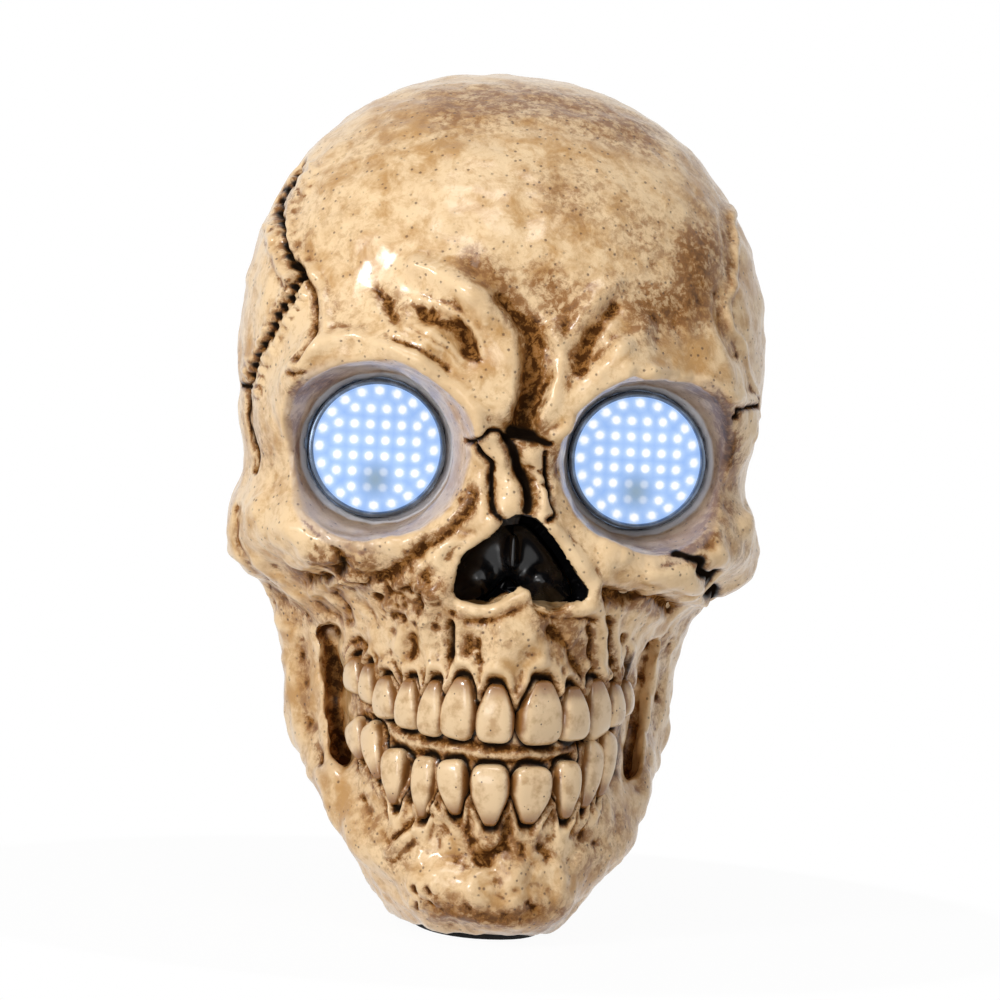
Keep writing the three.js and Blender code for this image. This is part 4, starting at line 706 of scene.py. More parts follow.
# Fine lumps all over, and rougher bone at the cheek, the temple and the chin.
rough = np.zeros(len(points))
ROUGH_PATCHES = (
    ((400, 592), 40, 1.2), ((690, 290), 70, 0.5), ((470, 870), 70, 1.0), ((420, 640), 50, 0.6),
    ((440, 310), 50, 0.5), ((560, 640), 50, 0.6), ((320, 560), 50, 0.8), ((540, 860), 50, 0.7),
    ((650, 610), 40, 0.6),
)
for centre, radius, amount in ROUGH_PATCHES:
    rough += amount * np.exp(-(np.linalg.norm(spots - np.array(centre), axis=1) / radius) ** 2)
on_outside = ramp(facing @ np.array(towards_camera), -0.5, 0.0) * (1 - in_socket) * (1 - nose_paint)


def lumps(points):
    """The slight unevenness of cast bone, in millimetres."""
    return 0.30 * grain(points, 9, 3) + 0.34 * grain(points, 4.4, 4) + 0.1 * grain(points, 2.2, 5)


BELOW_EYES_ROWS = (480, 580)
below_eyes = ramp(spots[:, 1], *BELOW_EYES_ROWS)
lift += on_outside * (
    (1 + 0.9 * below_eyes) * lumps(points)
    + rough * (0.7 * grain(points, 3.8, 6) + 0.4 * grain(points, 2.0, 7))
)
lift += in_socket * 0.25 * grain(points, 5, 12)
points = points + facing * lift[:, None]
put(face.data, points)


def attribute(mesh, name, values):
    """Keep a value for each point of a mesh, for its material."""
    layer = mesh.attributes.new(name, "FLOAT", "POINT")
    layer.data.foreach_set("value", values.astype(np.float32))


def hollowness(mesh, rounds):
    """How far each point lies below the smoothed surface round it, in millimetres."""
    given, out, ends = places(mesh), normals(mesh), edge_ends(mesh)
    smooth = relaxed(given, ends, np.full(len(given), 0.5), rounds)
    return ((smooth - given) * out).sum(axis=1)


fine_hollow = hollowness(face.data, 6)
broad_hollow = hollowness(face.data, 50)
# The brown wash settles in the fine hollows, and the broad hollows are darkened further as painted shade.
# Raised places are made paler as a painted highlight.
stain = np.clip(0.8 * stain + 0.5 * ramp(fine_hollow, 0.02, 0.14) + 0.4 * ramp(broad_hollow, 0.12, 0.7), 0, 1)
pale = np.clip(ramp(-fine_hollow, 0.01, 0.12) + 0.6 * ramp(-broad_hollow, 0.1, 0.6), 0, 1)
attribute(face.data, "stain", stain)
attribute(face.data, "dark", dark)
attribute(face.data, "pale", pale)
attribute(face.data, "socket", in_socket)
attribute(face.data, "gasket", gasket)
attribute(face.data, "nose_paint", nose_paint)


def thin_out(piece, chosen_faces, ratio):
    """Merge away most of the faces that are chosen, where they show little."""
    only(piece)
    piece.data.polygons.foreach_set("select", chosen_faces)
    bpy.ops.object.mode_set(mode="EDIT")
    bpy.ops.mesh.select_mode(type="FACE")
    bpy.ops.mesh.decimate(ratio=ratio)
    bpy.ops.object.mode_set(mode="OBJECT")


def face_values(mesh, name):
    values = np.empty(len(mesh.polygons) * 3)
    mesh.polygons.foreach_get(name, values)
    return values.reshape(-1, 3)


def triangle_count(mesh):
    return len(mesh.loops) - 2 * len(mesh.polygons)


def from_core(centres, depth, heights):
    """From an upright line inside the skull to each place."""
    core = np.zeros(centres.shape)
    core[:, 1] = depth
    core[:, 2] = heights
    return centres - core


INNER_SHARE = 0.06
CORE_DEPTH = -8.0
SHOWN_EYE_RADIUS = 24
SHOWN_NOSE_HALF_WIDTH = 20
SHOWN_NOSE_MIDDLE = 90
SHOWN_NOSE_HALF_HEIGHT = 14
SHOWN_DEPTH = -38
centres = face_values(face.data, "center") / MM
turned = face_values(face.data, "normal")
outward = from_core(centres, CORE_DEPTH, centres[:, 2])
near_front = np.minimum(from_eye(centres, left_eye), from_eye(centres, right_eye)) < SHOWN_EYE_RADIUS
near_front |= (
    (np.abs(centres[:, 0]) < SHOWN_NOSE_HALF_WIDTH)
    & (np.abs(centres[:, 2] - SHOWN_NOSE_MIDDLE) < SHOWN_NOSE_HALF_HEIGHT)
)
near_front &= centres[:, 1] < SHOWN_DEPTH
inner = ((turned * outward).sum(axis=1) < 0) & ~near_front
thin_out(face, inner, INNER_SHARE)
if triangle_count(face.data) > MOST_TRIANGLES:
    applied(face, "DECIMATE", ratio=MOST_TRIANGLES / triangle_count(face.data))
only(face)
bpy.ops.object.shade_smooth()


def adder(tree):
    """A short way to add nodes to a node tree, with values or links for their inputs."""
    def add(kind, settings=None, **inputs):
        node = tree.nodes.new("ShaderNode" + kind)
        for key, value in (settings or {}).items():
            setattr(node, key, value)
        for key, value in inputs.items():
            socket = node.inputs[int(key[1:])] if key[0] == "_" else node.inputs[key.replace("_", " ")]
            if isinstance(value, bpy.types.NodeSocket):
                tree.links.new(value, socket)
            else:
                socket.default_value = value
        return node

    return add


def new_material(name):
    """A material with one shader, a short way to add nodes to it, and a way to link them."""
    material = bpy.data.materials.new(name)
    material.use_nodes = True
    tree = material.node_tree
    tree.nodes.clear()
    shader = tree.nodes.new("ShaderNodeBsdfPrincipled")
    output = tree.nodes.new("ShaderNodeOutputMaterial")
    tree.links.new(shader.outputs[0], output.inputs[0])
    return material, shader, adder(tree), tree.links.new


def blended(add, share, first, second):
    """A colour between two colours."""
    node = add("Mix", {"data_type": "RGBA"}, _0=share, _6=first, _7=second)
    return node.outputs[2]


def combined(add, operation, first, second):
    return add("Math", {"operation": operation}, _0=first, _1=second).outputs[0]


def product(add, first, second):
    return combined(add, "MULTIPLY", first, second)


def noise(add, place, **settings):
    """Smooth random clouds, from 0 to 1."""
    return add("TexNoise", None, Vector=place, **settings).outputs[0]


def spread(add, value, low, high):
    """0 below low and 1 above high."""
    return add("MapRange", {"interpolation_type": "SMOOTHSTEP"}, _0=value, _1=low, _2=high).outputs[0]


def kept(add, name):
    """A value kept on the mesh."""
    return add("Attribute", {"attribute_name": name}).outputs["Fac"]


IVORY = (0.85, 0.615, 0.355, 1)
TAN = (0.52, 0.28, 0.09, 1)
MID_BROWN = (0.29, 0.125, 0.032, 1)
WASH_BROWN = (0.070, 0.025, 0.006, 1)
CRACK_BROWN = (0.010, 0.006, 0.0035, 1)
PAINT_BLACK = (0.004, 0.004, 0.005, 1)
SOCKET_SHADE_GREY = (0.36, 0.31, 0.33, 1)
SEAT_HIGHLIGHT_PALE = (0.78, 0.77, 0.80, 1)


def bone_material():
    """Lacquered ivory plastic, mottled tan and specked, with the brown and black washes kept on the mesh,
    and the painted shade and painted highlights kept there with them.
    """
    material, shader, add, link = new_material("painted_bone")
    place = add("TexCoord").outputs["Object"]
    broad = noise(add, place, Scale=46.0, Detail=4.0, Roughness=0.6, Distortion=0.6)
    medium = noise(add, place, Scale=165.0, Detail=5.0, Roughness=0.68, Distortion=0.4)
    fine = noise(add, place, Scale=640.0, Detail=3.0, Roughness=0.6)
    pores = add("TexVoronoi", None, Vector=place, Scale=470.0, Randomness=1.0).outputs["Distance"]
    pore = product(add, spread(add, pores, 0.22, 0.08), spread(add, medium, 0.38, 0.52))
    mottle = combined(add, "ADD", product(add, broad, 0.5), product(add, medium, 0.5))
    colour = blended(add, spread(add, mottle, 0.43, 0.61), IVORY, TAN)
    speckle = noise(add, place, Scale=470.0, Detail=4.0, Roughness=0.7, Distortion=0.3)
    colour = blended(add, product(add, spread(add, speckle, 0.48, 0.72), 0.5), colour, TAN)
    # Painted highlight: raised places are made paler ivory.
    colour = blended(add, product(add, kept(add, "pale"), 0.7), colour, IVORY)
    uneven = combined(add, "ADD", product(add, spread(add, speckle, 0.36, 0.64), 0.9), 0.5)
    # Brown wash and painted shade in the hollows: the kept darkening, made uneven, turns mid and then deep
    # brown.
    wash = product(add, kept(add, "stain"), uneven)
    colour = blended(add, spread(add, wash, 0.05, 0.6), colour, MID_BROWN)
    colour = blended(add, spread(add, wash, 0.5, 1.15), colour, WASH_BROWN)
    colour = blended(add, product(add, pore, 0.7), colour, WASH_BROWN)
    # Painted shade and painted lens light: the socket walls are turned lilac grey.
    colour = blended(add, product(add, kept(add, "socket"), 0.4), colour, SOCKET_SHADE_GREY)
    # Painted highlight: the flat seat round each bezel is made pale.
    colour = blended(add, kept(add, "gasket"), colour, SEAT_HIGHLIGHT_PALE)
    # Near black in the cracks, and painted shade deep in the side slots and socket corners.
    colour = blended(add, spread(add, kept(add, "dark"), 0.25, 0.8), colour, CRACK_BROWN)
    colour = blended(add, spread(add, kept(add, "nose_paint"), 0.3, 0.7), colour, PAINT_BLACK)
    link(colour, shader.inputs["Base Color"])
    dents = combined(add, "ADD", product(add, medium, 0.65), product(add, fine, 0.35))
    dents = combined(add, "SUBTRACT", dents, product(add, pore, 0.5))
    bump = add("Bump", None, Strength=0.55, Distance=0.0008, Height=dents)
    link(bump.outputs[0], shader.inputs["Normal"])
    shader.inputs["Roughness"].default_value = 0.36
    bare = spread(add, combined(add, "MAXIMUM", kept(add, "dark"), kept(add, "stain")), 1.0, 0.2)
    link(product(add, bare, 0.55), shader.inputs["Coat Weight"])
    link(product(add, bare, 0.22), shader.inputs["Specular IOR Level"])
    shader.inputs["Coat Roughness"].default_value = 0.17
    return material


bone = bone_material()
face.data.materials.clear()
face.data.materials.append(bone)
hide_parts("face_shell")
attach(face, "skull")

# Tooth rows: blunt pegs moulded in one with the jaws, paler than the bone, each with a flat edge at the
# bite and a round root that runs into the gum.
TOOTH_PROUD = 3.2
TOOTH_FULLNESS = 1.05
SURROUNDINGS = 7 * MM
jaw = tree_of(face)


def tooth_piece(root, bite, width, root_share):
    """One tooth: a ball drawn out square at the bite, set where its pixels meet the jaw."""
    base = jaw.ray_cast(camera_place, sight_line(root))[0]
    tip = jaw.ray_cast(camera_place, sight_line(bite))[0]
    axis = (tip - base).normalized()
    middle = (base + tip) / 2
    outward = Vector((0, 0, 0))
    for _, normal, _, _ in jaw.find_nearest_range(middle, SURROUNDINGS):
        outward += normal
    outward = (outward - axis * outward.dot(axis)).normalized()
    across = axis.cross(outward)
    half_width = TOOTH_FULLNESS * width * PIXEL_SIZE / 2 / max(0.42, abs(across.dot(image_right)))
    half_height = (tip - base).length / 2
    bpy.ops.object.select_all(action="DESELECT")
    bpy.ops.mesh.primitive_uv_sphere_add(segments=32, ring_count=22, radius=1)
    piece = bpy.context.object
    ball = np.array([v.co for v in piece.data.vertices])
    t = np.sign(ball[:, 2]) * np.abs(ball[:, 2]) ** np.where(ball[:, 2] > 0, 0.55, 0.8)
    s = np.sign(ball[:, 0]) * np.abs(ball[:, 0]) ** 0.52 * breadth(t, root_share)
    d = np.sign(ball[:, 1]) * np.abs(ball[:, 1]) ** 0.72 * (0.8 + 0.2 * ramp(t, -0.8, 0.3))
    made = (
        np.array(middle) + (t * half_height)[:, None] * np.array(axis)
        + (s * half_width)[:, None] * np.array(across) + (d * TOOTH_PROUD * MM)[:, None] * np.array(outward)
    )
    out = np.array(outward)
    made += (0.12 * grain(made / MM, 3.0, 21))[:, None] * out * MM
    piece.data.vertices.foreach_set("co", made.ravel())
    attribute(piece.data, "bite", t)
    attribute(piece.data, "flank", np.abs(s) / np.maximum(breadth(t, root_share), 0.1))
    return piece


def tooth_row(name, teeth, root_share):
    """The teeth of one jaw as one piece."""
    row = [tooth_piece(*tooth, root_share) for tooth in teeth]
    bpy.ops.object.select_all(action="DESELECT")
    for tooth in row:
        tooth.select_set(True)
    bpy.context.view_layer.objects.active = row[0]
    bpy.ops.object.join()
    joined = bpy.context.object
    joined.name = name
    bpy.ops.object.mode_set(mode="EDIT")
    bpy.ops.mesh.select_all(action="SELECT")
    bpy.ops.mesh.normals_make_consistent(inside=False)
    bpy.ops.object.mode_set(mode="OBJECT")
    bpy.ops.object.shade_smooth()
    return joined


def tooth_material():
    """Ivory enamel, darker brown towards the gum and at the flanks between the teeth, with a few specks."""
    material, shader, add, link = new_material("tooth_enamel")
    place = add("TexCoord").outputs["Object"]
    medium = noise(add, place, Scale=210.0, Detail=4.0, Roughness=0.62)
    specks = add("TexVoronoi", None, Vector=place, Scale=420.0, Randomness=1.0).outputs["Distance"]
    colour = blended(add, spread(add, medium, 0.46, 0.7), (0.78, 0.56, 0.32, 1), (0.53, 0.32, 0.14, 1))
    shade = combined(add, "ADD", kept(add, "bite"), product(add, medium, 0.6))
    colour = blended(add, spread(add, shade, -0.05, -0.65), colour, MID_BROWN)
    side = combined(add, "ADD", kept(add, "flank"), product(add, medium, 0.35))
    colour = blended(add, spread(add, side, 0.92, 1.15), colour, MID_BROWN)
    colour = blended(add, spread(add, specks, 0.12, 0.05), colour, WASH_BROWN)
    link(colour, shader.inputs["Base Color"])
    bump = add("Bump", None, Strength=0.25, Distance=0.0004, Height=medium)
    link(bump.outputs[0], shader.inputs["Normal"])
    shader.inputs["Roughness"].default_value = 0.32
    shader.inputs["Coat Weight"].default_value = 0.6
    shader.inputs["Coat Roughness"].default_value = 0.08
    return material


enamel = tooth_material()
for name, teeth, root_share in (
    ("upper_teeth", UPPER_TEETH, UPPER_ROOT_SHARE), ("lower_teeth", LOWER_TEETH, LOWER_ROOT_SHARE),
):
    row = tooth_row(name, teeth, root_share)
    row.data.materials.clear()
    row.data.materials.append(enamel)
    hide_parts("face_shell")
    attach(row, "skull")

# Nose insert: a glossy black plastic plate clipped behind the nose opening, moulded with a septum between
# two hollows.
NOSE_VOXEL = 0.7 * MM
NOSE_HOLD = (1, 3)
nose = remeshed_copy("nose_insert", "black_nose", NOSE_VOXEL)
points = places(nose.data)
ends = edge_ends(nose.data)
free = ramp(points[:, 1], *(nose_back - d for d in NOSE_HOLD))
points = relaxed(points, ends, 0.5 * free, 40)
put(nose.data, points)
points = points + normals(nose.data) * (free * 0.3 * grain(points, 3.5, 14))[:, None]
put(nose.data, points)
only(nose)
bpy.ops.object.shade_smooth()


def black_gloss(name, colour, roughness):
    """Glossy dark plastic with a faint unevenness of colour and gloss."""
    material, shader, add, link = new_material(name)
    place = add("TexCoord").outputs["Object"]
    cloud = noise(add, place, Scale=210.0, Detail=4.0, Roughness=0.6)
    paler = tuple(min(1, 2.2 * c + 0.002) for c in colour[:3]) + (1,)
    link(blended(add, spread(add, cloud, 0.45, 0.75), colour, paler), shader.inputs["Base Color"])
    gloss = add("MapRange", None, _0=cloud, _1=0.3, _2=0.7, _3=roughness, _4=roughness + 0.12)
    link(gloss.outputs[0], shader.inputs["Roughness"])
    bump = add("Bump", None, Strength=0.2, Distance=0.0003, Height=cloud)
    link(bump.outputs[0], shader.inputs["Normal"])
    return material


nose.data.materials.clear()
nose.data.materials.append(black_gloss("nose_black_gloss", PAINT_BLACK, 0.18))
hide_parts("nose_insert")
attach(nose, "skull")

# Eye bezels: moulded rings of glossy blue-black plastic, clamped behind the socket's seat by the eye cups.
# Sizes run as radius and depth behind the seat, in millimetres.
EYE_SEAT_Y = -40.0
BEZEL_LIP_RADIUS = 15.2
BEZEL_NOSE_RADIUS = 16.4
BEZEL_FRONT = -2.4
BEZEL_LIP_BACK = -0.6
BEZEL_ROUND = 0.35
FLANGE_RADIUS = 19.4
FLANGE_FRONT = 2.5
FLANGE_BACK = 4.5
SKIRT_RADIUS = 17.4
SKIRT_BACK = 7.2
LENS_POCKET_RADIUS = 15.6
TURNS = 128


def spun(piece, steps, centre, axis):
    """Turn a piece's profile round an axis into a surface."""
    only(piece)
    bpy.ops.object.mode_set(mode="EDIT")
    bpy.ops.mesh.select_all(action="SELECT")
    bpy.ops.mesh.spin(steps=steps, angle=2 * math.pi, center=centre, axis=axis)
    bpy.ops.mesh.select_all(action="SELECT")
    bpy.ops.mesh.remove_doubles(threshold=1e-6)
    bpy.ops.mesh.normals_make_consistent(inside=False)
    bpy.ops.object.mode_set(mode="OBJECT")


def turned_piece(name, profile, centre, closed):
    """A piece turned round an eye's axis from a profile of radius and depth."""
    mesh = bpy.data.meshes.new(name)
    corners = [((centre.x + r) * MM, (EYE_SEAT_Y + depth) * MM, centre.z * MM) for r, depth in profile]
    sides = [(i, i + 1) for i in range(len(corners) - 1)]
    if closed:
        sides.append((len(corners) - 1, 0))
    mesh.from_pydata(corners, sides, [])
    piece = bpy.data.objects.new(name, mesh)
    bpy.context.scene.collection.objects.link(piece)
    spun(piece, TURNS, (centre.x * MM, EYE_SEAT_Y * MM, centre.z * MM), (0, 1, 0))
    bpy.ops.object.shade_smooth_by_angle(angle=math.radians(35))
    return piece


BEZEL_PROFILE = (
    (BEZEL_LIP_RADIUS, BEZEL_LIP_BACK), (BEZEL_LIP_RADIUS, BEZEL_FRONT + 2 * BEZEL_ROUND),
    (BEZEL_LIP_RADIUS + BEZEL_ROUND / 2, BEZEL_FRONT + BEZEL_ROUND / 2),
    (BEZEL_LIP_RADIUS + BEZEL_ROUND, BEZEL_FRONT), (BEZEL_NOSE_RADIUS - BEZEL_ROUND, BEZEL_FRONT),
    (BEZEL_NOSE_RADIUS - BEZEL_ROUND / 3, BEZEL_FRONT + BEZEL_ROUND / 3),
    (BEZEL_NOSE_RADIUS, BEZEL_FRONT + BEZEL_ROUND), (BEZEL_NOSE_RADIUS, FLANGE_FRONT),
    (FLANGE_RADIUS, FLANGE_FRONT), (FLANGE_RADIUS, FLANGE_BACK), (SKIRT_RADIUS, FLANGE_BACK),
    (SKIRT_RADIUS, SKIRT_BACK), (LENS_POCKET_RADIUS, SKIRT_BACK), (LENS_POCKET_RADIUS, BEZEL_LIP_BACK),
)
bezel_gloss = black_gloss("bezel_blue_black", (0.13, 0.17, 0.24, 1), 0.12)
bezel_gloss.node_tree.nodes["Principled BSDF"].inputs["Metallic"].default_value = 0.8
for hand, eye in (("left", left_eye), ("right", right_eye)):
    bezel = turned_piece(f"{hand}_bezel_ring", BEZEL_PROFILE, eye, True)
    bezel.data.materials.append(bezel_gloss)
    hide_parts(f"{hand}_eye_bezel")
    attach(bezel, "skull")

# Eye lenses: pale blue domed diffusers lit from behind. Each lamp of the board shows through as a white
# spot, and four lamps low in the middle are dim.
LENS_RADIUS = 15.3
LENS_EDGE = -0.3
LENS_BACK = 1.7
LENS_BULGE = 1.4
LENS_RINGS = 40
LAMP_PITCH = 3.75
LAMP_ROWS = 6
LAMP_RING_COUNT = 20
LAMP_RING_RADIUS = 13.7
LAMP_SPOT = 1.3
LAMP_HALO = 1.7
GREY_PATCH_HALF_WIDTH = 3.0
GREY_PATCH_HALF_HEIGHT = 3.4
DIM_LAMP = 0.3
lamp_steps = [LAMP_PITCH * (i - (LAMP_ROWS - 1) / 2) for i in range(LAMP_ROWS)]
reach = lamp_steps[-1]
LAMPS = [
    (x, z, DIM_LAMP if abs(x) < LAMP_PITCH and -3 * LAMP_PITCH < z < -LAMP_PITCH else 1.0)
    for x in lamp_steps for z in lamp_steps if not abs(x) == abs(z) == reach
]
for i in range(LAMP_RING_COUNT):
    angle = 2 * math.pi * i / LAMP_RING_COUNT
    LAMPS.append((LAMP_RING_RADIUS * math.cos(angle), LAMP_RING_RADIUS * math.sin(angle), 1.0))


def lens_profile():
    """From the middle of the dome out to the rim and round the back."""
    dome = [
        (LENS_RADIUS * k / LENS_RINGS, LENS_EDGE - LENS_BULGE * (1 - (k / LENS_RINGS) ** 2))
        for k in range(LENS_RINGS + 1)
    ]
    return dome + [(LENS_RADIUS, LENS_BACK), (0.0, LENS_BACK)]


def lens_material():
    """A milky blue diffuser that glows, with white lamp spots and a grey patch round the dim ones."""
    material, shader, add, link = new_material("lit_lens")
    place = add("TexCoord").outputs["Object"]
    cloud = noise(add, place, Scale=300.0, Detail=3.0, Roughness=0.5)
    field = blended(add, spread(add, cloud, 0.35, 0.7), (0.25, 0.43, 0.82, 1), (0.31, 0.49, 0.86, 1))
    lit = blended(add, kept(add, "halo"), field, (0.62, 0.78, 0.98, 1))
    lit = blended(add, kept(add, "smudge"), lit, (0.22, 0.30, 0.34, 1))
    lit = blended(add, kept(add, "spot"), lit, (1.0, 1.0, 1.0, 1))
    link(lit, shader.inputs["Emission Color"])
    link(blended(add, 0.8, lit, (0.0, 0.0, 0.0, 1)), shader.inputs["Base Color"])
    shader.inputs["Emission Strength"].default_value = 1.0
    shader.inputs["Roughness"].default_value = 0.3
    return material


glow = lens_material()
for hand, eye in (("left", left_eye), ("right", right_eye)):
    lens = turned_piece(f"{hand}_lit_lens", lens_profile(), eye, False)
    at = places(lens.data)
    x, z = at[:, 0] - eye.x, at[:, 2] - eye.z
    spot = np.zeros(len(at))
    halo = np.zeros(len(at))
    for lamp_x, lamp_z, strength in LAMPS:
        away = np.hypot(x - lamp_x, z - lamp_z)
        spot = np.maximum(spot, strength * ramp(away, LAMP_SPOT, 0.45 * LAMP_SPOT))
        halo = np.maximum(halo, 0.75 * strength * np.exp(-(away / LAMP_HALO) ** 2))
    # A grey patch round the four dim lamps, low in the middle.
    smudge = 0.8 * np.exp(-((x / GREY_PATCH_HALF_WIDTH) ** 2 + ((z + 2 * LAMP_PITCH) / GREY_PATCH_HALF_HEIGHT) ** 2))
    attribute(lens.data, "spot", spot)
    attribute(lens.data, "halo", halo * (1 - smudge))
    attribute(lens.data, "smudge", smudge)
    lens.data.materials.append(glow)
    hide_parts(f"{hand}_eye_lens")
    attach(lens, "skull")

# Rear shell: the back half of the skull, moulded in the same ivory plastic and lacquered, with pockets for
# the screws that close it on the face, an opening for the battery door and a recess for the switch.
REAR_VOXEL = 1.0 * MM
SHELL_ROUNDS = 160
POCKET_HOLD = (6.5, 11)
REAR_SEAM_HOLD = (1.2, 5)
REAR_RIM_HOLD = (1, 5)
DOOR_EDGE_HOLD = (1.6, 5)
SWITCH_HOLD = (2, 6)
REAR_INNER_SHARE = 0.25
REAR_AXIS_TOP = 130
SHELL_CREASE = math.radians(50)
door_low, door_high = (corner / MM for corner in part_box("battery_door"))
switch_low, switch_high = (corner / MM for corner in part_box("switch_body"))


def open_outside(piece):
    """1 where a straight line out from the surface meets nothing more of the piece, else 0."""
    mesh = piece.data
    tree = tree_of(piece)
    clear = np.zeros(len(mesh.vertices))
    for i, (vertex, out) in enumerate(zip(mesh.vertices, mesh.vertex_normals)):
        clear[i] = tree.ray_cast(vertex.co + out.vector * MM, out.vector)[0] is None
    return clear


def box_distance(points, low, high):
    """How far points lie outside a window of x and z, seen from behind, negative inside it."""
    return np.maximum(
        np.abs(points[:, 0] - (low.x + high.x) / 2) - (high.x - low.x) / 2,
        np.abs(points[:, 2] - (low.z + high.z) / 2) - (high.z - low.z) / 2,
    )


def wash_shade_and_highlight(mesh):
    """Keep on a shell how hollow or raised it is, for its wash, painted shade and painted highlight."""
    fine, broad = hollowness(mesh, 6), hollowness(mesh, 40)
    # Brown wash in the fine hollows and painted shade in the broad ones; raised places get a painted
    # highlight.
    attribute(mesh, "stain", np.clip(0.55 * ramp(fine, 0.02, 0.16) + 0.4 * ramp(broad, 0.15, 0.8), 0, 1))
    attribute(mesh, "pale", ramp(-fine, 0.01, 0.12))


def outer_share(piece):
    """1 on the outside of a piece, less towards its inside and its holes."""
    ends = edge_ends(piece.data)
    return neighbours_mean(neighbours_mean(open_outside(piece), ends), ends)


def smooth_shell(piece, free, rounds):
    """Round off a shell where it is free, give it the lumps of cast bone, and keep its wash and painted
    light.
    """
    points = relaxed(places(piece.data), edge_ends(piece.data), 0.5 * free, rounds)
    put(piece.data, points)
    put(piece.data, points + normals(piece.data) * (free * lumps(points))[:, None])
    wash_shade_and_highlight(piece.data)


rear = remeshed_copy("rear_shell", "bone_rear", REAR_VOXEL)
points = places(rear.data)
free = outer_share(rear)
behind_seam = ramp(points[:, 1], *(seam_y + d for d in REAR_SEAM_HOLD))
free *= behind_seam * ramp(points[:, 2], *(rim_z + d for d in REAR_RIM_HOLD))
free *= ramp(np.abs(box_distance(points, door_low, door_high)), *DOOR_EDGE_HOLD)
free *= ramp(box_distance(points, switch_low, switch_high), *SWITCH_HOLD)
for hand in ("left", "right"):
    for level in ("upper", "lower"):
        low, high = (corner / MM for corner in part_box(f"{level}_{hand}_shell_screw"))
        free *= ramp(box_distance(points, low, high), *POCKET_HOLD)
smooth_shell(rear, free, SHELL_ROUNDS)
centres = face_values(rear.data, "center") / MM
turned = face_values(rear.data, "normal")
outward = from_core(centres, seam_y, np.minimum(centres[:, 2], REAR_AXIS_TOP))
thin_out(rear, (turned * outward).sum(axis=1) < 0, REAR_INNER_SHARE)
only(rear)
bpy.ops.object.shade_smooth_by_angle(angle=SHELL_CREASE)
rear.data.materials.clear()
rear.data.materials.append(bone)
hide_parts("rear_shell")
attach(rear, "skull")

# Battery door: a lid of the same plastic that carries on the curve of the back of the head. Two screws
# through sunk seats hold it, and it pulls straight off once they are undone.
DOOR_VOXEL = 0.6 * MM
DOOR_ROUNDS = 160
DOOR_FACING = (0.2, 0.5)
DOOR_RIM_HOLD = (0.8, 4)
SEAT_HOLD = (2.0, 6)
door = remeshed_copy("battery_door", "bone_door", DOOR_VOXEL)
points = places(door.data)
free = outer_share(door)
facing_out = ramp(normals(door.data)[:, 1], *DOOR_FACING)
free *= facing_out * ramp(-box_distance(points, door_low, door_high), *DOOR_RIM_HOLD)
for level in ("upper", "lower"):
    low, high = (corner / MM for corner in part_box(f"{level}_door_screw"))
    free *= ramp(box_distance(points, low, high), *SEAT_HOLD)
smooth_shell(door, free, DOOR_ROUNDS)
only(door)
bpy.ops.object.shade_smooth_by_angle(angle=SHELL_CREASE)
door.data.materials.clear()
door.data.materials.append(bone)
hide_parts("battery_door")
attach(door, "battery_door")

# Battery cells: drawn steel cans in a plain printed sleeve, with a pressed nub at the positive end. Every
# second one is turned over in the box.
CELL_ROUND = 0.8
NUB_RADIUS = 2.7
NUB_HEIGHT = 1.2
SLEEVE_SHARE = 0.66
BARE_END = 0.0006
LATHE_TURNS = 48


def lathe_piece(name, profile, centre, axis):
    """A piece turned from a profile of radius and height, in metres, stood along an axis at a centre."""
    mesh = bpy.data.meshes.new(name)
    mesh.from_pydata([(r, 0, h) for r, h in profile], [(i, i + 1) for i in range(len(profile) - 1)], [])
    piece = bpy.data.objects.new(name, mesh)
    bpy.context.scene.collection.objects.link(piece)
    spun(piece, LATHE_TURNS, (0, 0, 0), (0, 0, 1))
    attribute(mesh, "height", np.array([v.co.z for v in mesh.vertices]))
    mesh.transform(Matrix.Translation(centre) @ axis.to_track_quat("Z", "Y").to_matrix().to_4x4())
    bpy.ops.object.shade_smooth_by_angle(angle=math.radians(40))
    return piece


def cell_material(length):
    """A satin printed sleeve, dark for most of the can and copper towards the nub, with bare steel ends."""
    material, shader, add, link = new_material("cell_sleeve")
    place = add("TexCoord").outputs["Object"]
    cloud = noise(add, place, Scale=500.0, Detail=3.0)
    height = kept(add, "height")
    dark_sleeve = blended(add, cloud, (0.035, 0.04, 0.05, 1), (0.07, 0.075, 0.085, 1))
    copper = blended(add, cloud, (0.52, 0.24, 0.10, 1), (0.62, 0.31, 0.14, 1))
    steel = blended(add, cloud, (0.50, 0.51, 0.53, 1), (0.62, 0.63, 0.65, 1))
    top = combined(add, "GREATER_THAN", height, length * SLEEVE_SHARE)
    colour = blended(add, top, dark_sleeve, copper)
    bare = combined(add, "GREATER_THAN", height, length - BARE_END)
    bare = combined(add, "MAXIMUM", bare, combined(add, "LESS_THAN", height, BARE_END))
    link(blended(add, bare, colour, steel), shader.inputs["Base Color"])
    link(combined(add, "MAXIMUM", bare, product(add, top, 0.7)), shader.inputs["Metallic"])
    shader.inputs["Roughness"].default_value = 0.32
    return material


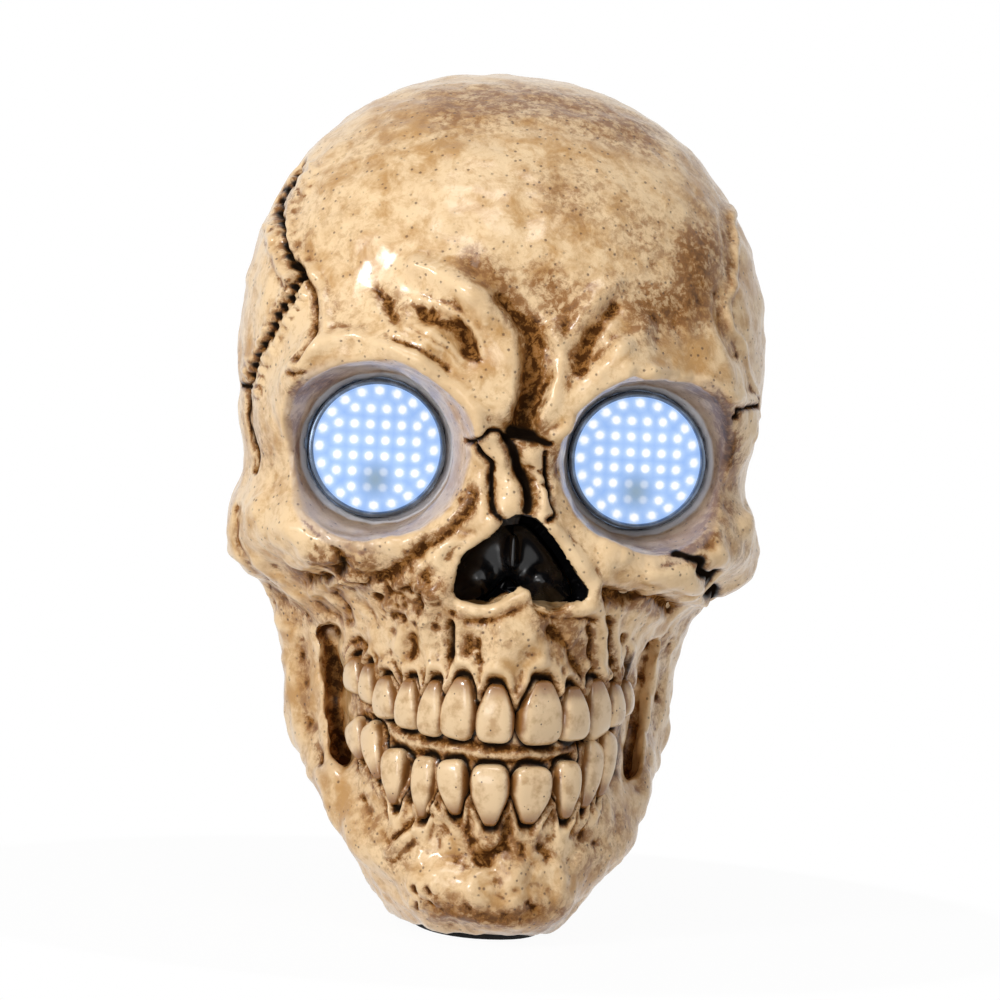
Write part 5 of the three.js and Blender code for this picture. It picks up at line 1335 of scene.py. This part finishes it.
cell_low, cell_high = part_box("battery_cell_1")
cell_length = cell_high.z - cell_low.z
cell_radius = (cell_high.x - cell_low.x) / 2
can = cell_length - NUB_HEIGHT * MM
CELL_PROFILE = [
    (0, 0), (cell_radius - CELL_ROUND * MM, 0),
    (cell_radius - 0.3 * CELL_ROUND * MM, 0.3 * CELL_ROUND * MM),
    (cell_radius, CELL_ROUND * MM), (cell_radius, can - CELL_ROUND * MM),
    (cell_radius - 0.3 * CELL_ROUND * MM, can - 0.3 * CELL_ROUND * MM),
    (cell_radius - CELL_ROUND * MM, can),
    (NUB_RADIUS * MM, can), (NUB_RADIUS * MM, cell_length - 0.3 * MM),
    ((NUB_RADIUS - 0.3) * MM, cell_length),
    (0, cell_length),
]
sleeve = cell_material(can)


def wide_end(node, part=0.12):
    """1 or -1: the end of an upright piece, up or down, at which it is wider."""
    points = places(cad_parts[node].data)
    low, high = points.min(axis=0), points.max(axis=0)
    from_axis = np.hypot(*(points - (low + high) / 2)[:, :2].T)
    band = part * (high[2] - low[2])
    upper = from_axis[points[:, 2] > high[2] - band].max()
    return 1 if upper > from_axis[points[:, 2] < low[2] + band].max() else -1


for number in (1, 2, 3):
    node = f"battery_cell_{number}"
    low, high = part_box(node)
    nub_way = -wide_end(node, 0.01)
    foot = (low + high) / 2 - Vector((0, 0, nub_way * cell_length / 2))
    cell = lathe_piece(f"cell_{number}", CELL_PROFILE, foot, Vector((0, 0, nub_way)))
    cell.data.materials.append(sleeve)
    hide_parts(node)
    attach(cell, "skull")

# Screws: zinc-plated pan heads with a cross recess. They close the shells, hold the box, the boards, the
# cups, the switch and the base, and the two door screws stay in the door.
HEAD_RADIUS = 2.8
HEAD_HEIGHT = 2.0
SHAFT_RADIUS = 1.3
RECESS_LENGTH = 3.0
RECESS_WIDTH = 0.75
RECESS_DEPTH = 1.1


def steel_material():
    """Bright zinc plate with faint clouding."""
    material, shader, add, link = new_material("zinc_steel")
    place = add("TexCoord").outputs["Object"]
    cloud = noise(add, place, Scale=900.0, Detail=4.0)
    link(blended(add, cloud, (0.48, 0.49, 0.51, 1), (0.66, 0.67, 0.69, 1)), shader.inputs["Base Color"])
    gloss = add("MapRange", None, _0=cloud, _1=0.3, _2=0.7, _3=0.22, _4=0.4)
    link(gloss.outputs[0], shader.inputs["Roughness"])
    shader.inputs["Metallic"].default_value = 1.0
    return material


steel = steel_material()


def cross_screw(node, body):
    """A screw where the CAD has one, its head at the same end and its length the same."""
    points = places(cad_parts[node].data)
    low, high = points.min(axis=0), points.max(axis=0)
    line = int(np.argmax(high - low))
    middle = (low + high) / 2
    sides = [i for i in range(3) if i != line]
    from_axis = np.hypot(*(points - middle)[:, sides].T)
    way = np.sign((points[from_axis > (HEAD_RADIUS + SHAFT_RADIUS) / 2] - middle)[:, line].mean())
    axis = Vector([way if i == line else 0.0 for i in range(3)])
    length = (high - low)[line]
    under = length - HEAD_HEIGHT
    profile = [
        (0, 0), (0.4 * SHAFT_RADIUS, 0), (SHAFT_RADIUS, 0.9), (SHAFT_RADIUS, under), (HEAD_RADIUS, under),
        (HEAD_RADIUS, length - 1.2), (0.93 * HEAD_RADIUS, length - 0.6),
        (0.75 * HEAD_RADIUS, length - 0.2),
        (0.45 * HEAD_RADIUS, length), (0, length),
    ]
    profile = [(r * MM, h * MM) for r, h in profile]
    foot = Vector(middle) * MM - axis * length * MM / 2
    screw = lathe_piece(f"{node}_cross", profile, foot, axis)
    top = Vector(middle) * MM + axis * length * MM / 2
    for turn in (0, math.pi / 2):
        bpy.ops.object.select_all(action="DESELECT")
        bpy.ops.mesh.primitive_cube_add(size=1)
        cutter = bpy.context.object
        cutter.data.transform(
            Matrix.Translation(top) @ axis.to_track_quat("Z", "Y").to_matrix().to_4x4()
            @ Matrix.Rotation(turn + math.pi / 4, 4, "Z")
            @ Matrix.Diagonal((RECESS_LENGTH * MM, RECESS_WIDTH * MM, 2 * RECESS_DEPTH * MM, 1))
        )
        applied(screw, "BOOLEAN", operation="DIFFERENCE", object=cutter, solver="EXACT")
        bpy.data.objects.remove(cutter)
    only(screw)
    bpy.ops.object.shade_smooth_by_angle(angle=math.radians(40))
    screw.data.materials.clear()
    screw.data.materials.append(steel)
    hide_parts(node)
    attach(screw, body)


for node in sorted(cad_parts):
    if node.endswith("_screw"):
        cross_screw(node, "battery_door" if "door" in node else "skull")

# Springs and contacts: cone springs of plated steel wire and stamped strips, pushed into slots of the
# battery box.
for node in sorted(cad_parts):
    if "spring" in node or node.endswith("_contact"):
        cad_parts[node].material_slots[0].material = steel

# Dark mouldings: the battery box, the eye cups, the switch and the base plate are black plastic with a
# fine spark-eroded grain.
grained_black = black_gloss("grained_black", (0.018, 0.018, 0.021, 1), 0.42)
for node in ("battery_box", "left_eye_cup", "right_eye_cup", "base_plate", "switch_body", "switch_slider"):
    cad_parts[node].material_slots[0].material = grained_black


# Anti-slip pad: a strip of black foam rubber cut from sheet and glued under the base plate, with open
# pores.
def rubber_material():
    """Dull black foam with open pores."""
    material, shader, add, link = new_material("foam_rubber")
    place = add("TexCoord").outputs["Object"]
    cell_edge = add("TexVoronoi", None, Vector=place, Scale=1400.0).outputs["Distance"]
    link(blended(add, cell_edge, (0.006, 0.006, 0.006, 1),
    (0.022, 0.022, 0.022, 1)), shader.inputs["Base Color"])
    bump = add("Bump", None, Strength=0.5, Distance=0.0003, Height=cell_edge)
    link(bump.outputs[0], shader.inputs["Normal"])
    shader.inputs["Roughness"].default_value = 0.9
    return material


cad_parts["anti_slip_pad"].material_slots[0].material = rubber_material()


# Circuit boards: glass fibre under green solder mask. A lamp board with white lamps is clamped behind
# each lens, and a controller board is screwed to the battery box.
def board_material(name, front):
    """Green solder mask with paler tracks, and what stands in front of a depth is white lamp epoxy."""
    material, shader, add, link = new_material(name)
    place = add("TexCoord").outputs["Object"]
    tracks = add("TexBrick", {"offset": 0.35}, Vector=place, Scale=190.0, Mortar_Size=0.06).outputs["Fac"]
    cloud = noise(add, place, Scale=300.0, Detail=3.0)
    mask = blended(add, cloud, (0.012, 0.085, 0.035, 1), (0.022, 0.14, 0.055, 1))
    mask = blended(add, product(add, tracks, 0.5), mask, (0.08, 0.25, 0.10, 1))
    depth = add("SeparateXYZ", None, Vector=place).outputs["Y"]
    lamp = combined(add, "LESS_THAN", depth, front)
    link(blended(add, lamp, mask, (0.80, 0.82, 0.80, 1)), shader.inputs["Base Color"])
    shader.inputs["Roughness"].default_value = 0.38
    return material


LAMP_FRONT = -32.45 * MM
lamp_board = board_material("lamp_board", LAMP_FRONT)
for node in ("left_led_board", "right_led_board"):
    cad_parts[node].material_slots[0].material = lamp_board
CONTROLLER_FRONT = -1.0
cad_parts["controller_board"].material_slots[0].material = board_material("controller", CONTROLLER_FRONT)


# Leads: thin copper wires in a red vinyl sleeve, soldered from the controller to the eyes, the battery
# and the switch.
def sleeve_material(name, colour):
    """Soft vinyl wire sleeve."""
    material, shader, add, link = new_material(name)
    place = add("TexCoord").outputs["Object"]
    cloud = noise(add, place, Scale=800.0, Detail=2.0)
    link(blended(add, cloud, colour, tuple(1.5 * c for c in colour[:3]) + (1,)), shader.inputs["Base Color"])
    shader.inputs["Roughness"].default_value = 0.5
    return material


vinyl = sleeve_material("vinyl_sleeve", (0.2, 0.02, 0.015, 1))
for node in ("left_eye_lead", "right_eye_lead", "battery_lead", "switch_lead"):
    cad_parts[node].material_slots[0].material = vinyl

# Stage: a plain pale floor and a white surround, lit by soft boxes. For the camera the floor fades into
# the white surround away from the skull, and keeps the skull's shadow near it.
FLOOR_SIZE = 8.0
FLOOR_FADE = (0.05, 0.15)
LEAST_WHITE = 0.96
bpy.ops.object.select_all(action="DESELECT")
bpy.ops.mesh.primitive_plane_add(size=FLOOR_SIZE, location=(0, 0, 0))
floor = bpy.context.object
floor.name = "floor"
material, shader, add, link = new_material("pale_floor")
tree = material.node_tree
shader.inputs["Base Color"].default_value = (0.86, 0.86, 0.86, 1)
shader.inputs["Roughness"].default_value = 0.7
white = add("Emission", None, Strength=1.0)
away = add("VectorMath", {"operation": "LENGTH"}, _0=add("TexCoord").outputs["Object"]).outputs["Value"]
far = combined(add, "MAXIMUM", spread(add, away, *FLOOR_FADE), LEAST_WHITE)


def straight_rays(add):
    """1 for what the camera sees by itself, in a gloss or through glass."""
    rays = add("LightPath")
    straight = combined(add, "MAXIMUM", rays.outputs["Is Camera Ray"], rays.outputs["Is Glossy Ray"])
    return combined(add, "MAXIMUM", straight, rays.outputs["Is Transmission Ray"])


mixed = add("MixShader", None, _0=product(add, far, straight_rays(add)))
link(shader.outputs[0], mixed.inputs[1])
link(white.outputs[0], mixed.inputs[2])
link(mixed.outputs[0], tree.nodes["Material Output"].inputs[0])
floor.data.materials.append(material)

AMBIENT = 0.24
world = bpy.data.worlds.new("white_surround")
bpy.context.scene.world = world
world.use_nodes = True
tree = world.node_tree
background = tree.nodes["Background"]
add = adder(tree)
level = add("MapRange", None, _0=straight_rays(add), _3=AMBIENT, _4=1.0)
tree.links.new(level.outputs[0], background.inputs["Strength"])
background.inputs["Color"].default_value = (1, 1, 1, 1)


def soft_box(name, place, aim, size, power):
    """A square soft light that looks at a place."""
    data = bpy.data.lights.new(name, "AREA")
    data.energy = power
    data.size = size
    lamp = bpy.data.objects.new(name, data)
    lamp.matrix_world = Matrix.Translation(place) @ (
        (Vector(place) - Vector(aim)).to_track_quat("Z", "Y").to_matrix().to_4x4()
    )
    bpy.context.scene.collection.objects.link(lamp)


SKULL_MIDDLE = (0, -0.02, 0.11)
soft_box("key", (-0.9, -0.85, 0.75), SKULL_MIDDLE, 0.2, 8.6)
soft_box("overhead", (-0.1, -0.45, 1.15), SKULL_MIDDLE, 0.4, 3.0)
soft_box("low_front", (-0.6, -1.1, 0.12), SKULL_MIDDLE, 0.5, 3.2)
soft_box("fill", (0.9, -0.9, 0.3), SKULL_MIDDLE, 0.8, 1.0)
